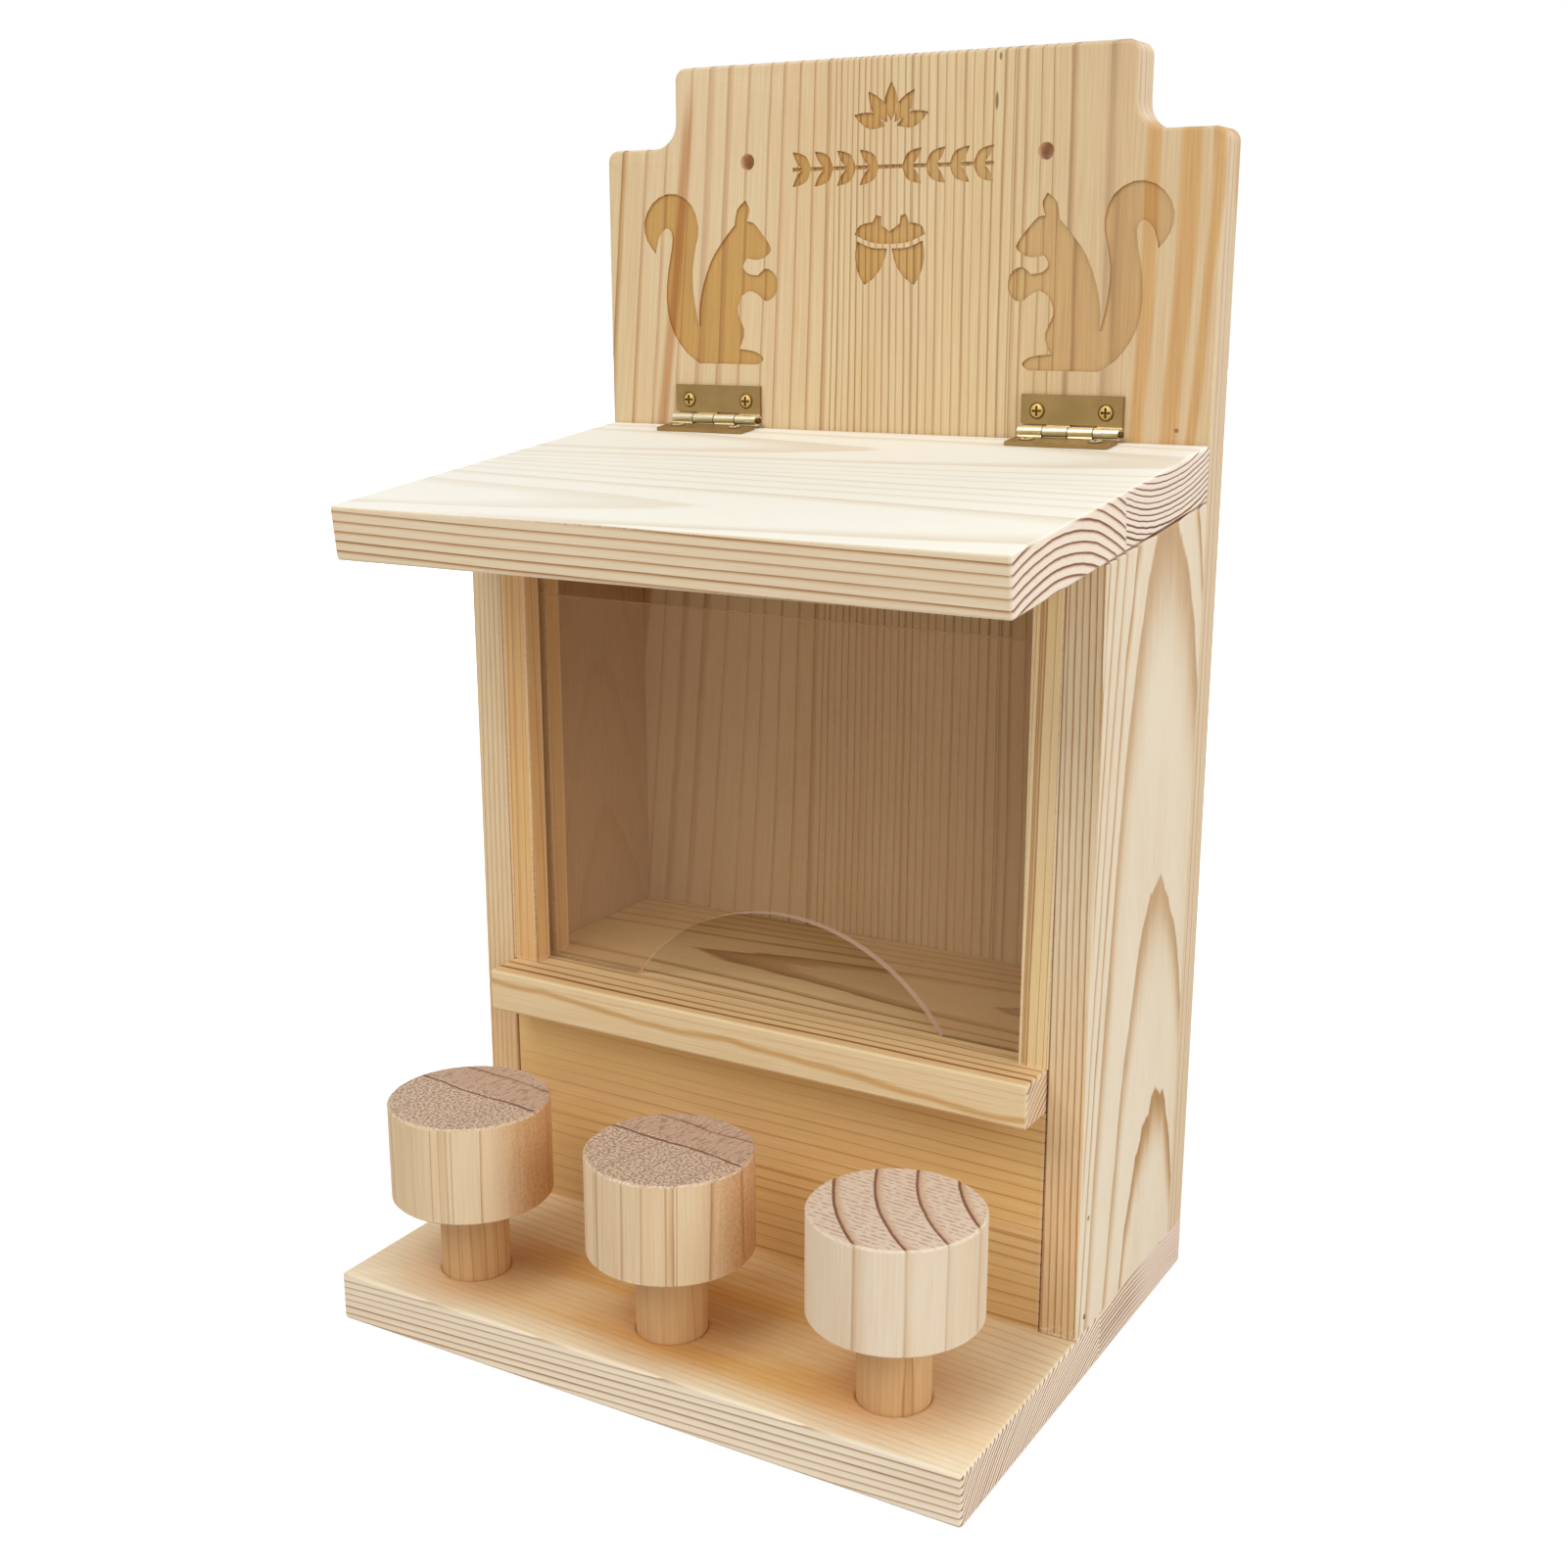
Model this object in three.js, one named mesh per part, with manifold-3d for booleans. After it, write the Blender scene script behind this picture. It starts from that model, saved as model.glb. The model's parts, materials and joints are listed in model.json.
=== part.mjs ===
// A wooden feeder box for squirrels. It hangs on a wall or stands on a table.
//
// Two glued boards make the base and two more make the sloping lid. Between them stand a tall
// back board, two sides, a lower front panel and a hopper floor whose lip is a feeding ledge.
// A clear window slides in two grooves made by upright battens, and feed spills under its arch.
// The lid turns on two brass butt hinges, and three stools stand in front.
//
// Millimetres, +Z up, +Y towards the back. The origin is on the ground under the base's middle.

import * as THREE from 'three';
import { mergeVertices } from 'three/addons/utils/BufferGeometryUtils.js';
import Module from 'manifold-3d';

const wasm = await Module();
wasm.setup();

// Driving dimensions of the box
const width = 165;
const height = 295;
const baseDepth = 130;
const baseRearDepth = 56;
const baseThickness = 12;
const backThickness = 10;
const sideThickness = 9;
const boxDepth = 71;
const panelThickness = 9;
const panelRecess = 0.4;
const floorTop = 76;
const floorThickness = 10.5;
const floorLip = 10.5;
const boardPlay = 0.25;

// Driving dimensions of the back board's outline
const shoulderDrop = 19;
const shoulderWidth = 21;
const notchRadius = 6.5;
const cornerRadius = 3;
const mountHoleRadius = 2;
const mountHoleSetback = 42.5;
const mountHoleDrop = 23;

// Driving dimensions of the engraving in the back board's front
const engravingDepth = 0.5;
const squirrelWidth = 40;
const squirrelHeight = 42;
const squirrelSetback = 11;
const squirrelDrop = 72;
const acornWidth = 10.5;
const acornLength = 16.5;
const acornSpacing = 13.5;
const acornLean = THREE.MathUtils.degToRad(12);
const acornDrop = 52.5;
const fanLeafLength = 10.5;
const fanLeafWidth = 3.6;
const fanGap = 1.6;
const fanSpread = THREE.MathUtils.degToRad(36);
const fanDrop = 16.5;
const garlandLength = 54;
const garlandDrop = 25.2;
const garlandStem = 0.9;
const garlandLeafLength = 6.6;
const garlandLeafWidth = 2.8;
const garlandLean = THREE.MathUtils.degToRad(38);
const garlandPairs = 4;

// Driving dimensions of the lid
const lidPitch = THREE.MathUtils.degToRad(6.5);
const lidLength = 109.5;
const lidRearLength = 52.5;
const lidThickness = 12.5;
const lidDrop = 87.7;
const lidGap = 0.3;

// Driving dimensions of the window and its battens
const battenWidth = 7;
const battenDepth = 5.5;
const windowThickness = 2;
const windowHeadroom = 19.2;
const windowPlay = 0.3;
const archWidth = 84;
const archHeight = 22;
const archOffset = 2.5;

// Driving dimensions of the stools
const stoolSetback = 19.5;
const stoolEndSetback = 25.5;
const seatRadius = 19.2;
const seatThickness = 24;
const seatTop = 56;
const seatEase = 0.5;
const seatSocket = 8;
const stemRadius = 8.2;
const stemSocket = 5;
const socketPlay = 0.15;

// Driving dimensions of the hinges
const hingeLength = 25.4;
const hingeSetback = 33.7;
const leafThickness = 0.9;
const leafReach = 8.6;
const leafTail = 0.9;
const leafGap = 0.1;
const hingeAxisOffset = 1.9;
const barrelRadius = 1.45;
const knuckleGap = 0.25;
const notchPlay = 0.35;
const hingePinRadius = 0.7;
const hingePinPlay = 0.08;
const hingePinStandOut = 0.6;

// Driving dimensions of the screws and brads
const hingeScrewSpacing = 17.2;
const hingeScrewReach = 4.8;
const hingeScrewHead = 1.9;
const hingeScrewShank = 1;
const hingeScrewLength = 8;
const hingeScrewDome = 0.45;
const crossLength = 2.4;
const crossWidth = 0.55;
const crossDepth = 0.55;
const stoolScrewHead = 3.2;
const stoolScrewShank = 1.6;
const stoolScrewLength = 22;
const stoolScrewDome = 0.3;
const stoolScrewSink = 0.6;
const stoolCrossLength = 3.6;
const stoolCrossWidth = 0.9;
const stoolCrossDepth = 1.1;
const screwPlay = 0.1;
const screwTipShare = 2;
const screwDomeShares = [0.72, 0.7];
const bradRadius = 0.6;
const bradLength = 17;
const bradSink = 0.4;
const bradEndSetback = 4.2;

const hingeKnuckles = 4;
const sideBradSpacing = 24.4;
const backBradCount = 3;
const baseBradShares = [0.14, 0.8];
const roundSegments = 64;
const stemSegments = 48;
const smallSegments = 20;
const bradSegments = 8;
const figureSegments = 2;
const cornerSegments = 8;
const archSegments = 28;
const cutOverrun = 1;

// Places worked out from the driving dimensions
const sideOuter = width / 2;
const sideInner = sideOuter - sideThickness;
const backRear = baseDepth / 2;
const backFront = backRear - backThickness;
const boxFront = backRear - boxDepth;
const baseFront = -baseDepth / 2;
const slotFront = boxFront + battenDepth;
const slotRear = slotFront + windowThickness + 2 * windowPlay;
const panelFront = boxFront + panelRecess;
const shoulderHeight = height - shoulderDrop;
const mountHoleX = sideOuter - mountHoleSetback;
const mountHoleHeight = height - mountHoleDrop;
const garlandHeight = height - garlandDrop;
const lidTopAtBack = height - lidDrop;
const lidTopAt = (y) => lidTopAtBack - (backFront - y) * Math.tan(lidPitch);
const lidUndersideAt = (y) => lidTopAt(y) - lidThickness / Math.cos(lidPitch);
const windowTop = lidUndersideAt(slotFront) - windowHeadroom;
const hingeX = sideOuter - hingeSetback;
const hingeAxisY = backFront - hingeAxisOffset;
const hingeAxisZ = lidTopAt(hingeAxisY) + hingeAxisOffset / Math.cos(lidPitch);
const leafBack = leafGap - hingeAxisOffset;
const leafFace = leafBack + leafThickness;
const stemFoot = baseThickness - stemSocket;
const stemTop = seatTop - seatThickness + seatSocket;

// Solids and meshes

function toSolid(geometry) {
  const bare = geometry.clone();
  bare.deleteAttribute('normal');
  bare.deleteAttribute('uv');
  const merged = mergeVertices(bare);
  return new wasm.Manifold(
    new wasm.Mesh({
      numProp: 3,
      vertProperties: new Float32Array(merged.attributes.position.array),
      triVerts: new Uint32Array(merged.index.array),
    })
  );
}

function toGeometry(solid) {
  const { vertProperties, triVerts } = solid.getMesh();
  const geometry = new THREE.BufferGeometry();
  geometry.setAttribute('position', new THREE.BufferAttribute(vertProperties, 3));
  geometry.setIndex(new THREE.BufferAttribute(triVerts, 1));
  geometry.computeVertexNormals();
  return geometry;
}

function cut(geometry, cutters) {
  let solid = toSolid(geometry);
  for (const cutter of cutters) solid = solid.subtract(toSolid(cutter));
  return toGeometry(solid);
}

function join(geometries) {
  let solid = toSolid(geometries[0]);
  for (const geometry of geometries.slice(1)) solid = solid.add(toSolid(geometry));
  return toGeometry(solid);
}

function part(name, material, geometry, position = [0, 0, 0], rotation = [0, 0, 0]) {
  const mesh = new THREE.Mesh(geometry, material);
  mesh.name = name;
  mesh.position.set(...position);
  mesh.rotation.set(...rotation);
  return mesh;
}

// A box between two corners
function block(low, high) {
  const size = high.map((value, axis) => value - low[axis]);
  const box = new THREE.BoxGeometry(...size);
  return box.translate(...size.map((value, axis) => low[axis] + value / 2));
}

// An outline in X and Z, given thickness from its front face towards the back
function upright(shape, front, thickness, curveSegments = smallSegments) {
  const plate = new THREE.ExtrudeGeometry(shape, {
    depth: thickness,
    bevelEnabled: false,
    curveSegments,
  });
  const basis = new THREE.Matrix4().makeBasis(
    new THREE.Vector3(1, 0, 0),
    new THREE.Vector3(0, 0, 1),
    new THREE.Vector3(0, -1, 0)
  );
  return plate.applyMatrix4(basis).translate(0, front + thickness, 0);
}

// An outline in Y and Z, given length from one X to another
function lengthwise(points, fromX, toX) {
  const shape = new THREE.Shape(points.map(([y, z]) => new THREE.Vector2(y, z)));
  const bar = new THREE.ExtrudeGeometry(shape, { depth: toX - fromX, bevelEnabled: false });
  const basis = new THREE.Matrix4().makeBasis(
    new THREE.Vector3(0, 1, 0),
    new THREE.Vector3(0, 0, 1),
    new THREE.Vector3(1, 0, 0)
  );
  return bar.applyMatrix4(basis).translate(fromX, 0, 0);
}

// A profile of radius and height turned about the Z axis
function turned(profile, segments) {
  const points = profile.map(([radius, z]) => new THREE.Vector2(radius, z));
  return new THREE.LatheGeometry(points, segments).rotateX(Math.PI / 2);
}

function rod(radius, low, high, segments) {
  return turned([[0, low], [radius, low], [radius, high], [0, high]], segments);
}

// The same, with its axis along X
function rodAlongX(radius, low, high, segments) {
  return rod(radius, low, high, segments).rotateY(Math.PI / 2);
}

// Finishes

const pale = { roughness: 0.72, metalness: 0 };
const backPine = new THREE.MeshStandardMaterial({ color: 0xdcc29a, ...pale });
const sidePine = new THREE.MeshStandardMaterial({ color: 0xe4d2b0, ...pale });
const lidPine = new THREE.MeshStandardMaterial({ color: 0xefe0c4, ...pale });
const basePine = new THREE.MeshStandardMaterial({ color: 0xc99f68, ...pale });
const battenPine = new THREE.MeshStandardMaterial({ color: 0xcba678, ...pale });
const seatPine = new THREE.MeshStandardMaterial({ color: 0xe2cdaa, ...pale });
const stemWood = new THREE.MeshStandardMaterial({ color: 0xc7a173, ...pale });
const brass = new THREE.MeshStandardMaterial({ color: 0xa18a58, roughness: 0.35, metalness: 1 });
const bradSteel = new THREE.MeshStandardMaterial({ color: 0x77736c, roughness: 0.4, metalness: 1 });
const clearSheet = new THREE.MeshStandardMaterial({
  color: 0xe9ddd2,
  roughness: 0.06,
  metalness: 0,
  transparent: true,
  opacity: 0.3,
});

// Screws and brads

// A cross-recess screw along Z. Its countersunk head's rim is at height 0.
function screw({ head, shank, length, dome, seat, cross }) {
  const [domeRadiusShare, domeHeightShare] = screwDomeShares;
  const body = turned(
    [
      [0, -length],
      [shank, screwTipShare * shank - length],
      [shank, -seat],
      [head, 0],
      [head * domeRadiusShare, dome * domeHeightShare],
      [0, dome],
    ],
    smallSegments
  );
  const half = cross.length / 2;
  const slim = cross.width / 2;
  const floor = dome - cross.depth;
  const top = dome + cutOverrun;
  return cut(body, [
    block([-half, -slim, floor], [half, slim, top]),
    block([-slim, -half, floor], [slim, half, top]),
  ]);
}

// The room that a screw needs in what it passes through, along the same axis
function screwHole({ head, shank, length, seat }) {
  return turned(
    [
      [0, -length - screwPlay],
      [shank + screwPlay, -length - screwPlay],
      [shank + screwPlay, -seat],
      [head + screwPlay, 0],
      [head + screwPlay, cutOverrun],
      [0, cutOverrun],
    ],
    smallSegments
  );
}

const hingeScrew = {
  head: hingeScrewHead,
  shank: hingeScrewShank,
  length: hingeScrewLength,
  dome: hingeScrewDome,
  seat: leafThickness,
  cross: { length: crossLength, width: crossWidth, depth: crossDepth },
};

const stoolScrew = {
  head: stoolScrewHead,
  shank: stoolScrewShank,
  length: stoolScrewLength,
  dome: stoolScrewDome,
  seat: stoolScrewHead - stoolScrewShank,
  cross: { length: stoolCrossLength, width: stoolCrossWidth, depth: stoolCrossDepth },
};

// A brad is driven bradSink below the face at height 0, down along -Z
const brad = () => rod(bradRadius, -bradSink - bradLength, -bradSink, bradSegments);
const bradHole = () =>
  rod(bradRadius + screwPlay, -bradSink - bradLength - screwPlay, cutOverrun, bradSegments);

// Each brad's place is a point on the face it enters, and which way it goes in.
// The same lists place the brads and drill the boards.
const sideBradPlaces = [0, sideBradSpacing].map((rise) => ({
  y: panelFront + panelThickness / 2,
  z: baseThickness + bradEndSetback + rise,
}));

const backBradPlaces = Array.from({ length: backBradCount }, (_, index) => {
  const reach = lidUndersideAt(backFront) - baseThickness;
  return baseThickness + (reach * (index + 0.5)) / backBradCount;
});

const baseBradPlaces = baseBradShares.map(
  (share) => boxFront + (backFront - boxFront) * share
);
const besideX = sideOuter - sideThickness / 2;

const sideBrads = (side, make) =>
  sideBradPlaces.map(({ y, z }) =>
    make()
      .rotateY((side * Math.PI) / 2)
      .translate(side * sideOuter, y, z)
  );

const backBrads = (side, make) =>
  backBradPlaces.map((z) =>
    make()
      .rotateX(-Math.PI / 2)
      .translate(side * besideX, backRear, z)
  );

const baseBrads = (side, make) =>
  baseBradPlaces.map((y) =>
    make()
      .rotateX(Math.PI)
      .translate(side * besideX, y, 0)
  );

const sides = [-1, 1];
const bothSides = (place) => sides.flatMap(place);

// Stools: a turned seat on a dowel, which is glued and screwed into the base

const stools = [
  { name: 'left', x: stoolEndSetback - sideOuter },
  { name: 'middle', x: 0 },
  { name: 'right', x: sideOuter - stoolEndSetback },
];
const stoolY = baseFront + stoolSetback;

const stoolSocketCutter = ({ x }) =>
  rod(stemRadius + socketPlay, stemFoot, baseThickness + cutOverrun, stemSegments).translate(
    x,
    stoolY,
    0
  );

// A stool's screw goes up through the base, its head sunk below the underside
const upThrough = (piece, x, y) => piece.rotateX(Math.PI).translate(x, y, stoolScrewSink);
const stoolScrewCutter = ({ x }) => upThrough(screwHole(stoolScrew), x, stoolY);

function stoolSeat() {
  const low = seatTop - seatThickness;
  const body = turned(
    [
      [0, low],
      [seatRadius - seatEase, low],
      [seatRadius, low + seatEase],
      [seatRadius, seatTop - seatEase],
      [seatRadius - seatEase, seatTop],
      [0, seatTop],
    ],
    roundSegments
  );
  const socket = rod(stemRadius + socketPlay, low - cutOverrun, stemTop, stemSegments);
  return cut(body, [socket]);
}

function stoolStem() {
  const dowel = rod(stemRadius, stemFoot, stemTop, stemSegments);
  return cut(dowel, [upThrough(screwHole(stoolScrew), 0, 0)]);
}

// Base: a front board that carries the stools, edge-glued to a rear board under the box

const baseJoint = backRear - baseRearDepth;

function baseBoard(fromY, toY, extraCutters) {
  const board = block([-sideOuter, fromY, 0], [sideOuter, toY, baseThickness]);
  return cut(board, [...bothSides((side) => baseBrads(side, bradHole)), ...extraCutters]);
}

const baseFrontBoard = () =>
  baseBoard(baseFront, baseJoint, [
    ...stools.map(stoolSocketCutter),
    ...stools.map(stoolScrewCutter),
  ]);

// Back board

// From its foot up to its shoulders, and through a hollow corner on each side to its crown
function backOutline() {
  const crown = sideOuter - shoulderWidth;
  const quarter = Math.PI / 2;
  const shape = new THREE.Shape();
  shape.moveTo(-sideOuter, baseThickness);
  shape.lineTo(sideOuter, baseThickness);
  shape.absarc(
    sideOuter - cornerRadius, shoulderHeight - cornerRadius, cornerRadius, 0, quarter, false
  );
  shape.absarc(
    crown + notchRadius, shoulderHeight + notchRadius, notchRadius, -quarter, -2 * quarter, true
  );
  shape.absarc(crown - cornerRadius, height - cornerRadius, cornerRadius, 0, quarter, false);
  shape.absarc(
    cornerRadius - crown, height - cornerRadius, cornerRadius, quarter, 2 * quarter, false
  );
  shape.absarc(
    -crown - notchRadius, shoulderHeight + notchRadius, notchRadius, 0, -quarter, true
  );
  shape.absarc(
    cornerRadius - sideOuter, shoulderHeight - cornerRadius, cornerRadius,
    quarter, 2 * quarter, false
  );
  shape.closePath();
  for (const side of sides) {
    const hole = new THREE.Path();
    hole.absarc(side * mountHoleX, mountHoleHeight, mountHoleRadius, 0, 4 * quarter);
    shape.holes.push(hole);
  }
  return shape;
}

// Figures of the engraving. Each outline is a chain of strokes, smooth within a stroke and
// with a corner between two. A stroke starts where the one before it ended.

const squirrelStart = [0.42, 0];
const squirrelShares = [
  [[0.86, 0]],
  [[0.9, 0.035], [0.84, 0.075], [0.72, 0.09]],
  [[0.76, 0.19], [0.71, 0.31], [0.74, 0.4]],
  [[0.8, 0.43], [0.86, 0.41]],
  [[0.93, 0.37], [1, 0.43], [0.99, 0.52], [0.92, 0.56], [0.86, 0.52]],
  [[0.79, 0.53], [0.75, 0.57], [0.78, 0.62]],
  [[0.87, 0.61], [0.95, 0.65], [0.95, 0.69], [0.89, 0.76], [0.83, 0.82], [0.78, 0.83]],
  [[0.8, 0.9], [0.77, 0.95]],
  [[0.71, 0.9], [0.69, 0.81]],
  [[0.62, 0.74], [0.52, 0.62], [0.45, 0.46], [0.42, 0.32], [0.42, 0.22]],
  [
    [0.385, 0.36], [0.37, 0.52], [0.39, 0.66], [0.42, 0.79], [0.37, 0.93],
    [0.24, 1], [0.1, 0.97], [0.01, 0.86], [0.02, 0.74], [0.09, 0.65],
  ],
  [
    [0.12, 0.75], [0.18, 0.8], [0.22, 0.76], [0.21, 0.66],
    [0.18, 0.52], [0.17, 0.36], [0.21, 0.2], [0.31, 0.07], [0.42, 0],
  ],
];

const acornNutStart = [-0.4, 0.58];
const acornNutShares = [
  [[-0.38, 0.36], [-0.22, 0.14], [0, 0]],
  [[0.22, 0.14], [0.38, 0.36], [0.4, 0.58]],
  [[0, 0.54], [-0.4, 0.58]],
];

const acornCapStart = [-0.5, 0.66];
const acornCapShares = [
  [[0, 0.61], [0.5, 0.66]],
  [[0.42, 0.8], [0.14, 0.88]],
  [[0.1, 1]],
  [[-0.04, 1]],
  [[-0.1, 0.89]],
  [[-0.4, 0.81], [-0.5, 0.66]],
];

const leafStart = [0, 0];
const leafShares = [
  [[0.5, 0.38], [0.36, 0.72], [0, 1]],
  [[-0.36, 0.72], [-0.5, 0.38], [0, 0]],
];

// Places an outline of shares: its size, its lean about its foot, and where the foot goes
function figure(start, strokes, { across, up, lean = 0, x, z }) {
  const place = ([shareX, shareZ]) => {
    const point = new THREE.Vector2(shareX * across, shareZ * up);
    return point.rotateAround(new THREE.Vector2(), -lean).add(new THREE.Vector2(x, z));
  };
  const shape = new THREE.Shape();
  const first = place(start);
  shape.moveTo(first.x, first.y);
  for (const stroke of strokes) shape.splineThru(stroke.map(place));
  return shape;
}

const squirrel = (side) =>
  figure(squirrelStart, squirrelShares, {
    across: -side * squirrelWidth,
    up: squirrelHeight,
    x: side * (sideOuter - squirrelSetback),
    z: height - squirrelDrop,
  });

const acorn = (side) => {
  const place = {
    across: acornWidth,
    up: acornLength,
    lean: -side * acornLean,
    x: (side * acornSpacing) / 2,
    z: height - acornDrop,
  };
  return [figure(acornNutStart, acornNutShares, place), figure(acornCapStart, acornCapShares, place)];
};

const leaf = (length, across, lean, x, z) =>
  figure(leafStart, leafShares, { across, up: length, lean, x, z });

// Five leaves spread like a fan
function leafFan() {
  return [-2, -1, 0, 1, 2].map((step) => {
    const lean = step * fanSpread;
    const x = fanGap * Math.sin(lean);
    const z = height - fanDrop + fanGap * Math.cos(lean);
    return leaf(fanLeafLength - fanGap, fanLeafWidth, lean, x, z);
  });
}

// A straight stem with pairs of leaves that point away from the middle
function garland() {
  const half = garlandLength / 2;
  const step = (half - garlandLeafLength * Math.cos(garlandLean)) / (garlandPairs - 0.5);
  const stem = new THREE.Shape();
  stem.moveTo(-half, garlandHeight - garlandStem / 2);
  stem.lineTo(half, garlandHeight - garlandStem / 2);
  stem.lineTo(half, garlandHeight + garlandStem / 2);
  stem.lineTo(-half, garlandHeight + garlandStem / 2);
  const leaves = bothSides((side) =>
    Array.from({ length: garlandPairs }, (_, index) => (index + 0.5) * step).flatMap((distance) =>
      sides.map((up) => {
        const lean = side * (Math.PI / 2 - up * garlandLean);
        return leaf(garlandLeafLength, garlandLeafWidth, lean, side * distance, garlandHeight);
      })
    )
  );
  return [stem, ...leaves];
}

function backBoard() {
  const figures = [...bothSides(squirrel), ...bothSides(acorn), ...leafFan(), ...garland()];
  const pockets = figures.map((shape) =>
    upright(shape, backFront - cutOverrun, cutOverrun + engravingDepth, figureSegments)
  );
  const hingeHoles = bothSides((side) =>
    sides.map((end) =>
      screwHole(hingeScrew)
        .rotateX(Math.PI / 2)
        .translate(
          side * hingeX + (end * hingeScrewSpacing) / 2,
          hingeAxisY - leafFace,
          hingeAxisZ + hingeScrewReach
        )
    )
  );
  return cut(upright(backOutline(), backFront, backThickness, cornerSegments), [
    ...pockets,
    ...hingeHoles,
    ...bothSides((side) => backBrads(side, bradHole)),
  ]);
}

// Sides, lower front panel and hopper floor

const underLid = (y) => lidUndersideAt(y) - lidGap;

function sideBoard(side) {
  const outline = [
    [boxFront, baseThickness],
    [backFront, baseThickness],
    [backFront, underLid(backFront)],
    [boxFront, underLid(boxFront)],
  ];
  const inner = side * sideInner;
  const outer = side * sideOuter;
  const board = lengthwise(outline, Math.min(inner, outer), Math.max(inner, outer));
  return cut(board, [
    ...sideBrads(side, bradHole),
    ...backBrads(side, bradHole),
    ...baseBrads(side, bradHole),
  ]);
}

const boardEnd = sideInner - boardPlay;

function lowerPanel() {
  const panel = block(
    [-boardEnd, panelFront, baseThickness],
    [boardEnd, panelFront + panelThickness, floorTop - floorThickness]
  );
  return cut(panel, bothSides((side) => sideBrads(side, bradHole)));
}

const hopperFloor = () =>
  block([-boardEnd, boxFront - floorLip, floorTop - floorThickness], [boardEnd, backFront, floorTop]);

// Window and battens

function batten(side, front) {
  const outline = [
    [front, floorTop],
    [front + battenDepth, floorTop],
    [front + battenDepth, underLid(front + battenDepth)],
    [front, underLid(front)],
  ];
  const inner = side * (sideInner - battenWidth);
  const outer = side * sideInner;
  return lengthwise(outline, Math.min(inner, outer), Math.max(inner, outer));
}

// A sheet with the arch cut from its lower edge: an arc through its two feet and its crown
function windowPanel() {
  const half = sideInner - windowPlay;
  const foot = archWidth / 2;
  const radius = (foot * foot + archHeight * archHeight) / (2 * archHeight);
  const centreZ = floorTop + archHeight - radius;
  const footAngle = Math.asin((floorTop - centreZ) / radius);
  const shape = new THREE.Shape();
  shape.moveTo(-half, windowTop);
  shape.lineTo(-half, floorTop);
  shape.absarc(archOffset, centreZ, radius, Math.PI - footAngle, footAngle, true);
  shape.lineTo(half, floorTop);
  shape.lineTo(half, windowTop);
  shape.closePath();
  return upright(shape, slotFront + windowPlay, windowThickness, archSegments);
}

// Lid: two boards, made flat in the lid's own frame. That frame has its origin on the hinge
// axis and lies at the lid's pitch, so the boards' top is hingeAxisOffset below it.

const lidFrame = new THREE.Group();
lidFrame.position.set(0, hingeAxisY, hingeAxisZ);
lidFrame.rotation.x = lidPitch;

const lidTop = -hingeAxisOffset;
const lidBottom = lidTop - lidThickness;

// The lid's rear edge is planed upright, lidGap from the back board
const lidRearAt = (z) => (hingeAxisOffset - lidGap + z * Math.sin(lidPitch)) / Math.cos(lidPitch);
const lidJoint = lidRearAt(lidTop) - lidRearLength;
const lidFront = lidRearAt(lidTop) - lidLength;

const lidFrontBoard = () =>
  block([-sideOuter, lidFront, lidBottom], [sideOuter, lidJoint, lidTop]);

function lidRearBoard() {
  const outline = [
    [lidJoint, lidBottom],
    [lidRearAt(lidBottom), lidBottom],
    [lidRearAt(lidTop), lidTop],
    [lidJoint, lidTop],
  ];
  const screwHoles = bothSides((side) =>
    sides.map((end) =>
      screwHole(hingeScrew).translate(
        side * hingeX + (end * hingeScrewSpacing) / 2,
        -hingeScrewReach,
        leafFace
      )
    )
  );
  return cut(lengthwise(outline, -sideOuter, sideOuter), screwHoles);
}

// Hinges: two like leaves whose knuckles interlock on a pin. A leaf is made with the pin's
// axis on X, its plate running along +Y, and the face that shows looking along +Z.

function hingeLeaf() {
  const half = hingeLength / 2;
  const pitch = hingeLength / hingeKnuckles;
  const plate = block([-half, -leafTail, leafBack], [half, leafReach, leafFace]);
  const places = Array.from({ length: hingeKnuckles }, (_, index) => index);
  const own = places.filter((index) => index % 2 === 1);
  const others = places.filter((index) => index % 2 === 0);
  const knuckles = own.map((index) =>
    rodAlongX(
      barrelRadius,
      -half + index * pitch + knuckleGap / 2,
      -half + (index + 1) * pitch - knuckleGap / 2,
      smallSegments
    )
  );
  const notches = others.map((index) =>
    block(
      [-half + index * pitch - knuckleGap / 2, -leafTail - cutOverrun, leafBack - cutOverrun],
      [-half + (index + 1) * pitch + knuckleGap / 2, barrelRadius + notchPlay, barrelRadius]
    )
  );
  const bore = rodAlongX(
    hingePinRadius + hingePinPlay, -half - cutOverrun, half + cutOverrun, smallSegments
  );
  const screwHoles = sides.map((end) =>
    screwHole(hingeScrew).translate((end * hingeScrewSpacing) / 2, hingeScrewReach, leafFace)
  );
  return cut(join([cut(plate, [...notches, ...screwHoles]), ...knuckles]), [bore]);
}

const hingeScrews = () =>
  sides.map((end) =>
    screw(hingeScrew).translate((end * hingeScrewSpacing) / 2, hingeScrewReach, leafFace)
  );

const hingePin = () =>
  rodAlongX(hingePinRadius, -hingeLength / 2, hingeLength / 2 + hingePinStandOut, smallSegments);

// Assembly

const feeder = new THREE.Group();
feeder.add(lidFrame);

// Adds a row of like pieces to a group, with a number after the name
function addRow(group, name, material, geometries, ...place) {
  geometries.forEach((geometry, index) => {
    group.add(part(`${name}_${index + 1}`, material, geometry, ...place));
  });
}

feeder.add(part('base_front_board', basePine, baseFrontBoard()));
feeder.add(part('base_rear_board', basePine, baseBoard(baseJoint, backRear, [])));
feeder.add(part('back_board', backPine, backBoard()));
feeder.add(part('lower_front_panel', basePine, lowerPanel()));
feeder.add(part('hopper_floor', basePine, hopperFloor()));
feeder.add(part('window_panel', clearSheet, windowPanel()));

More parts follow.
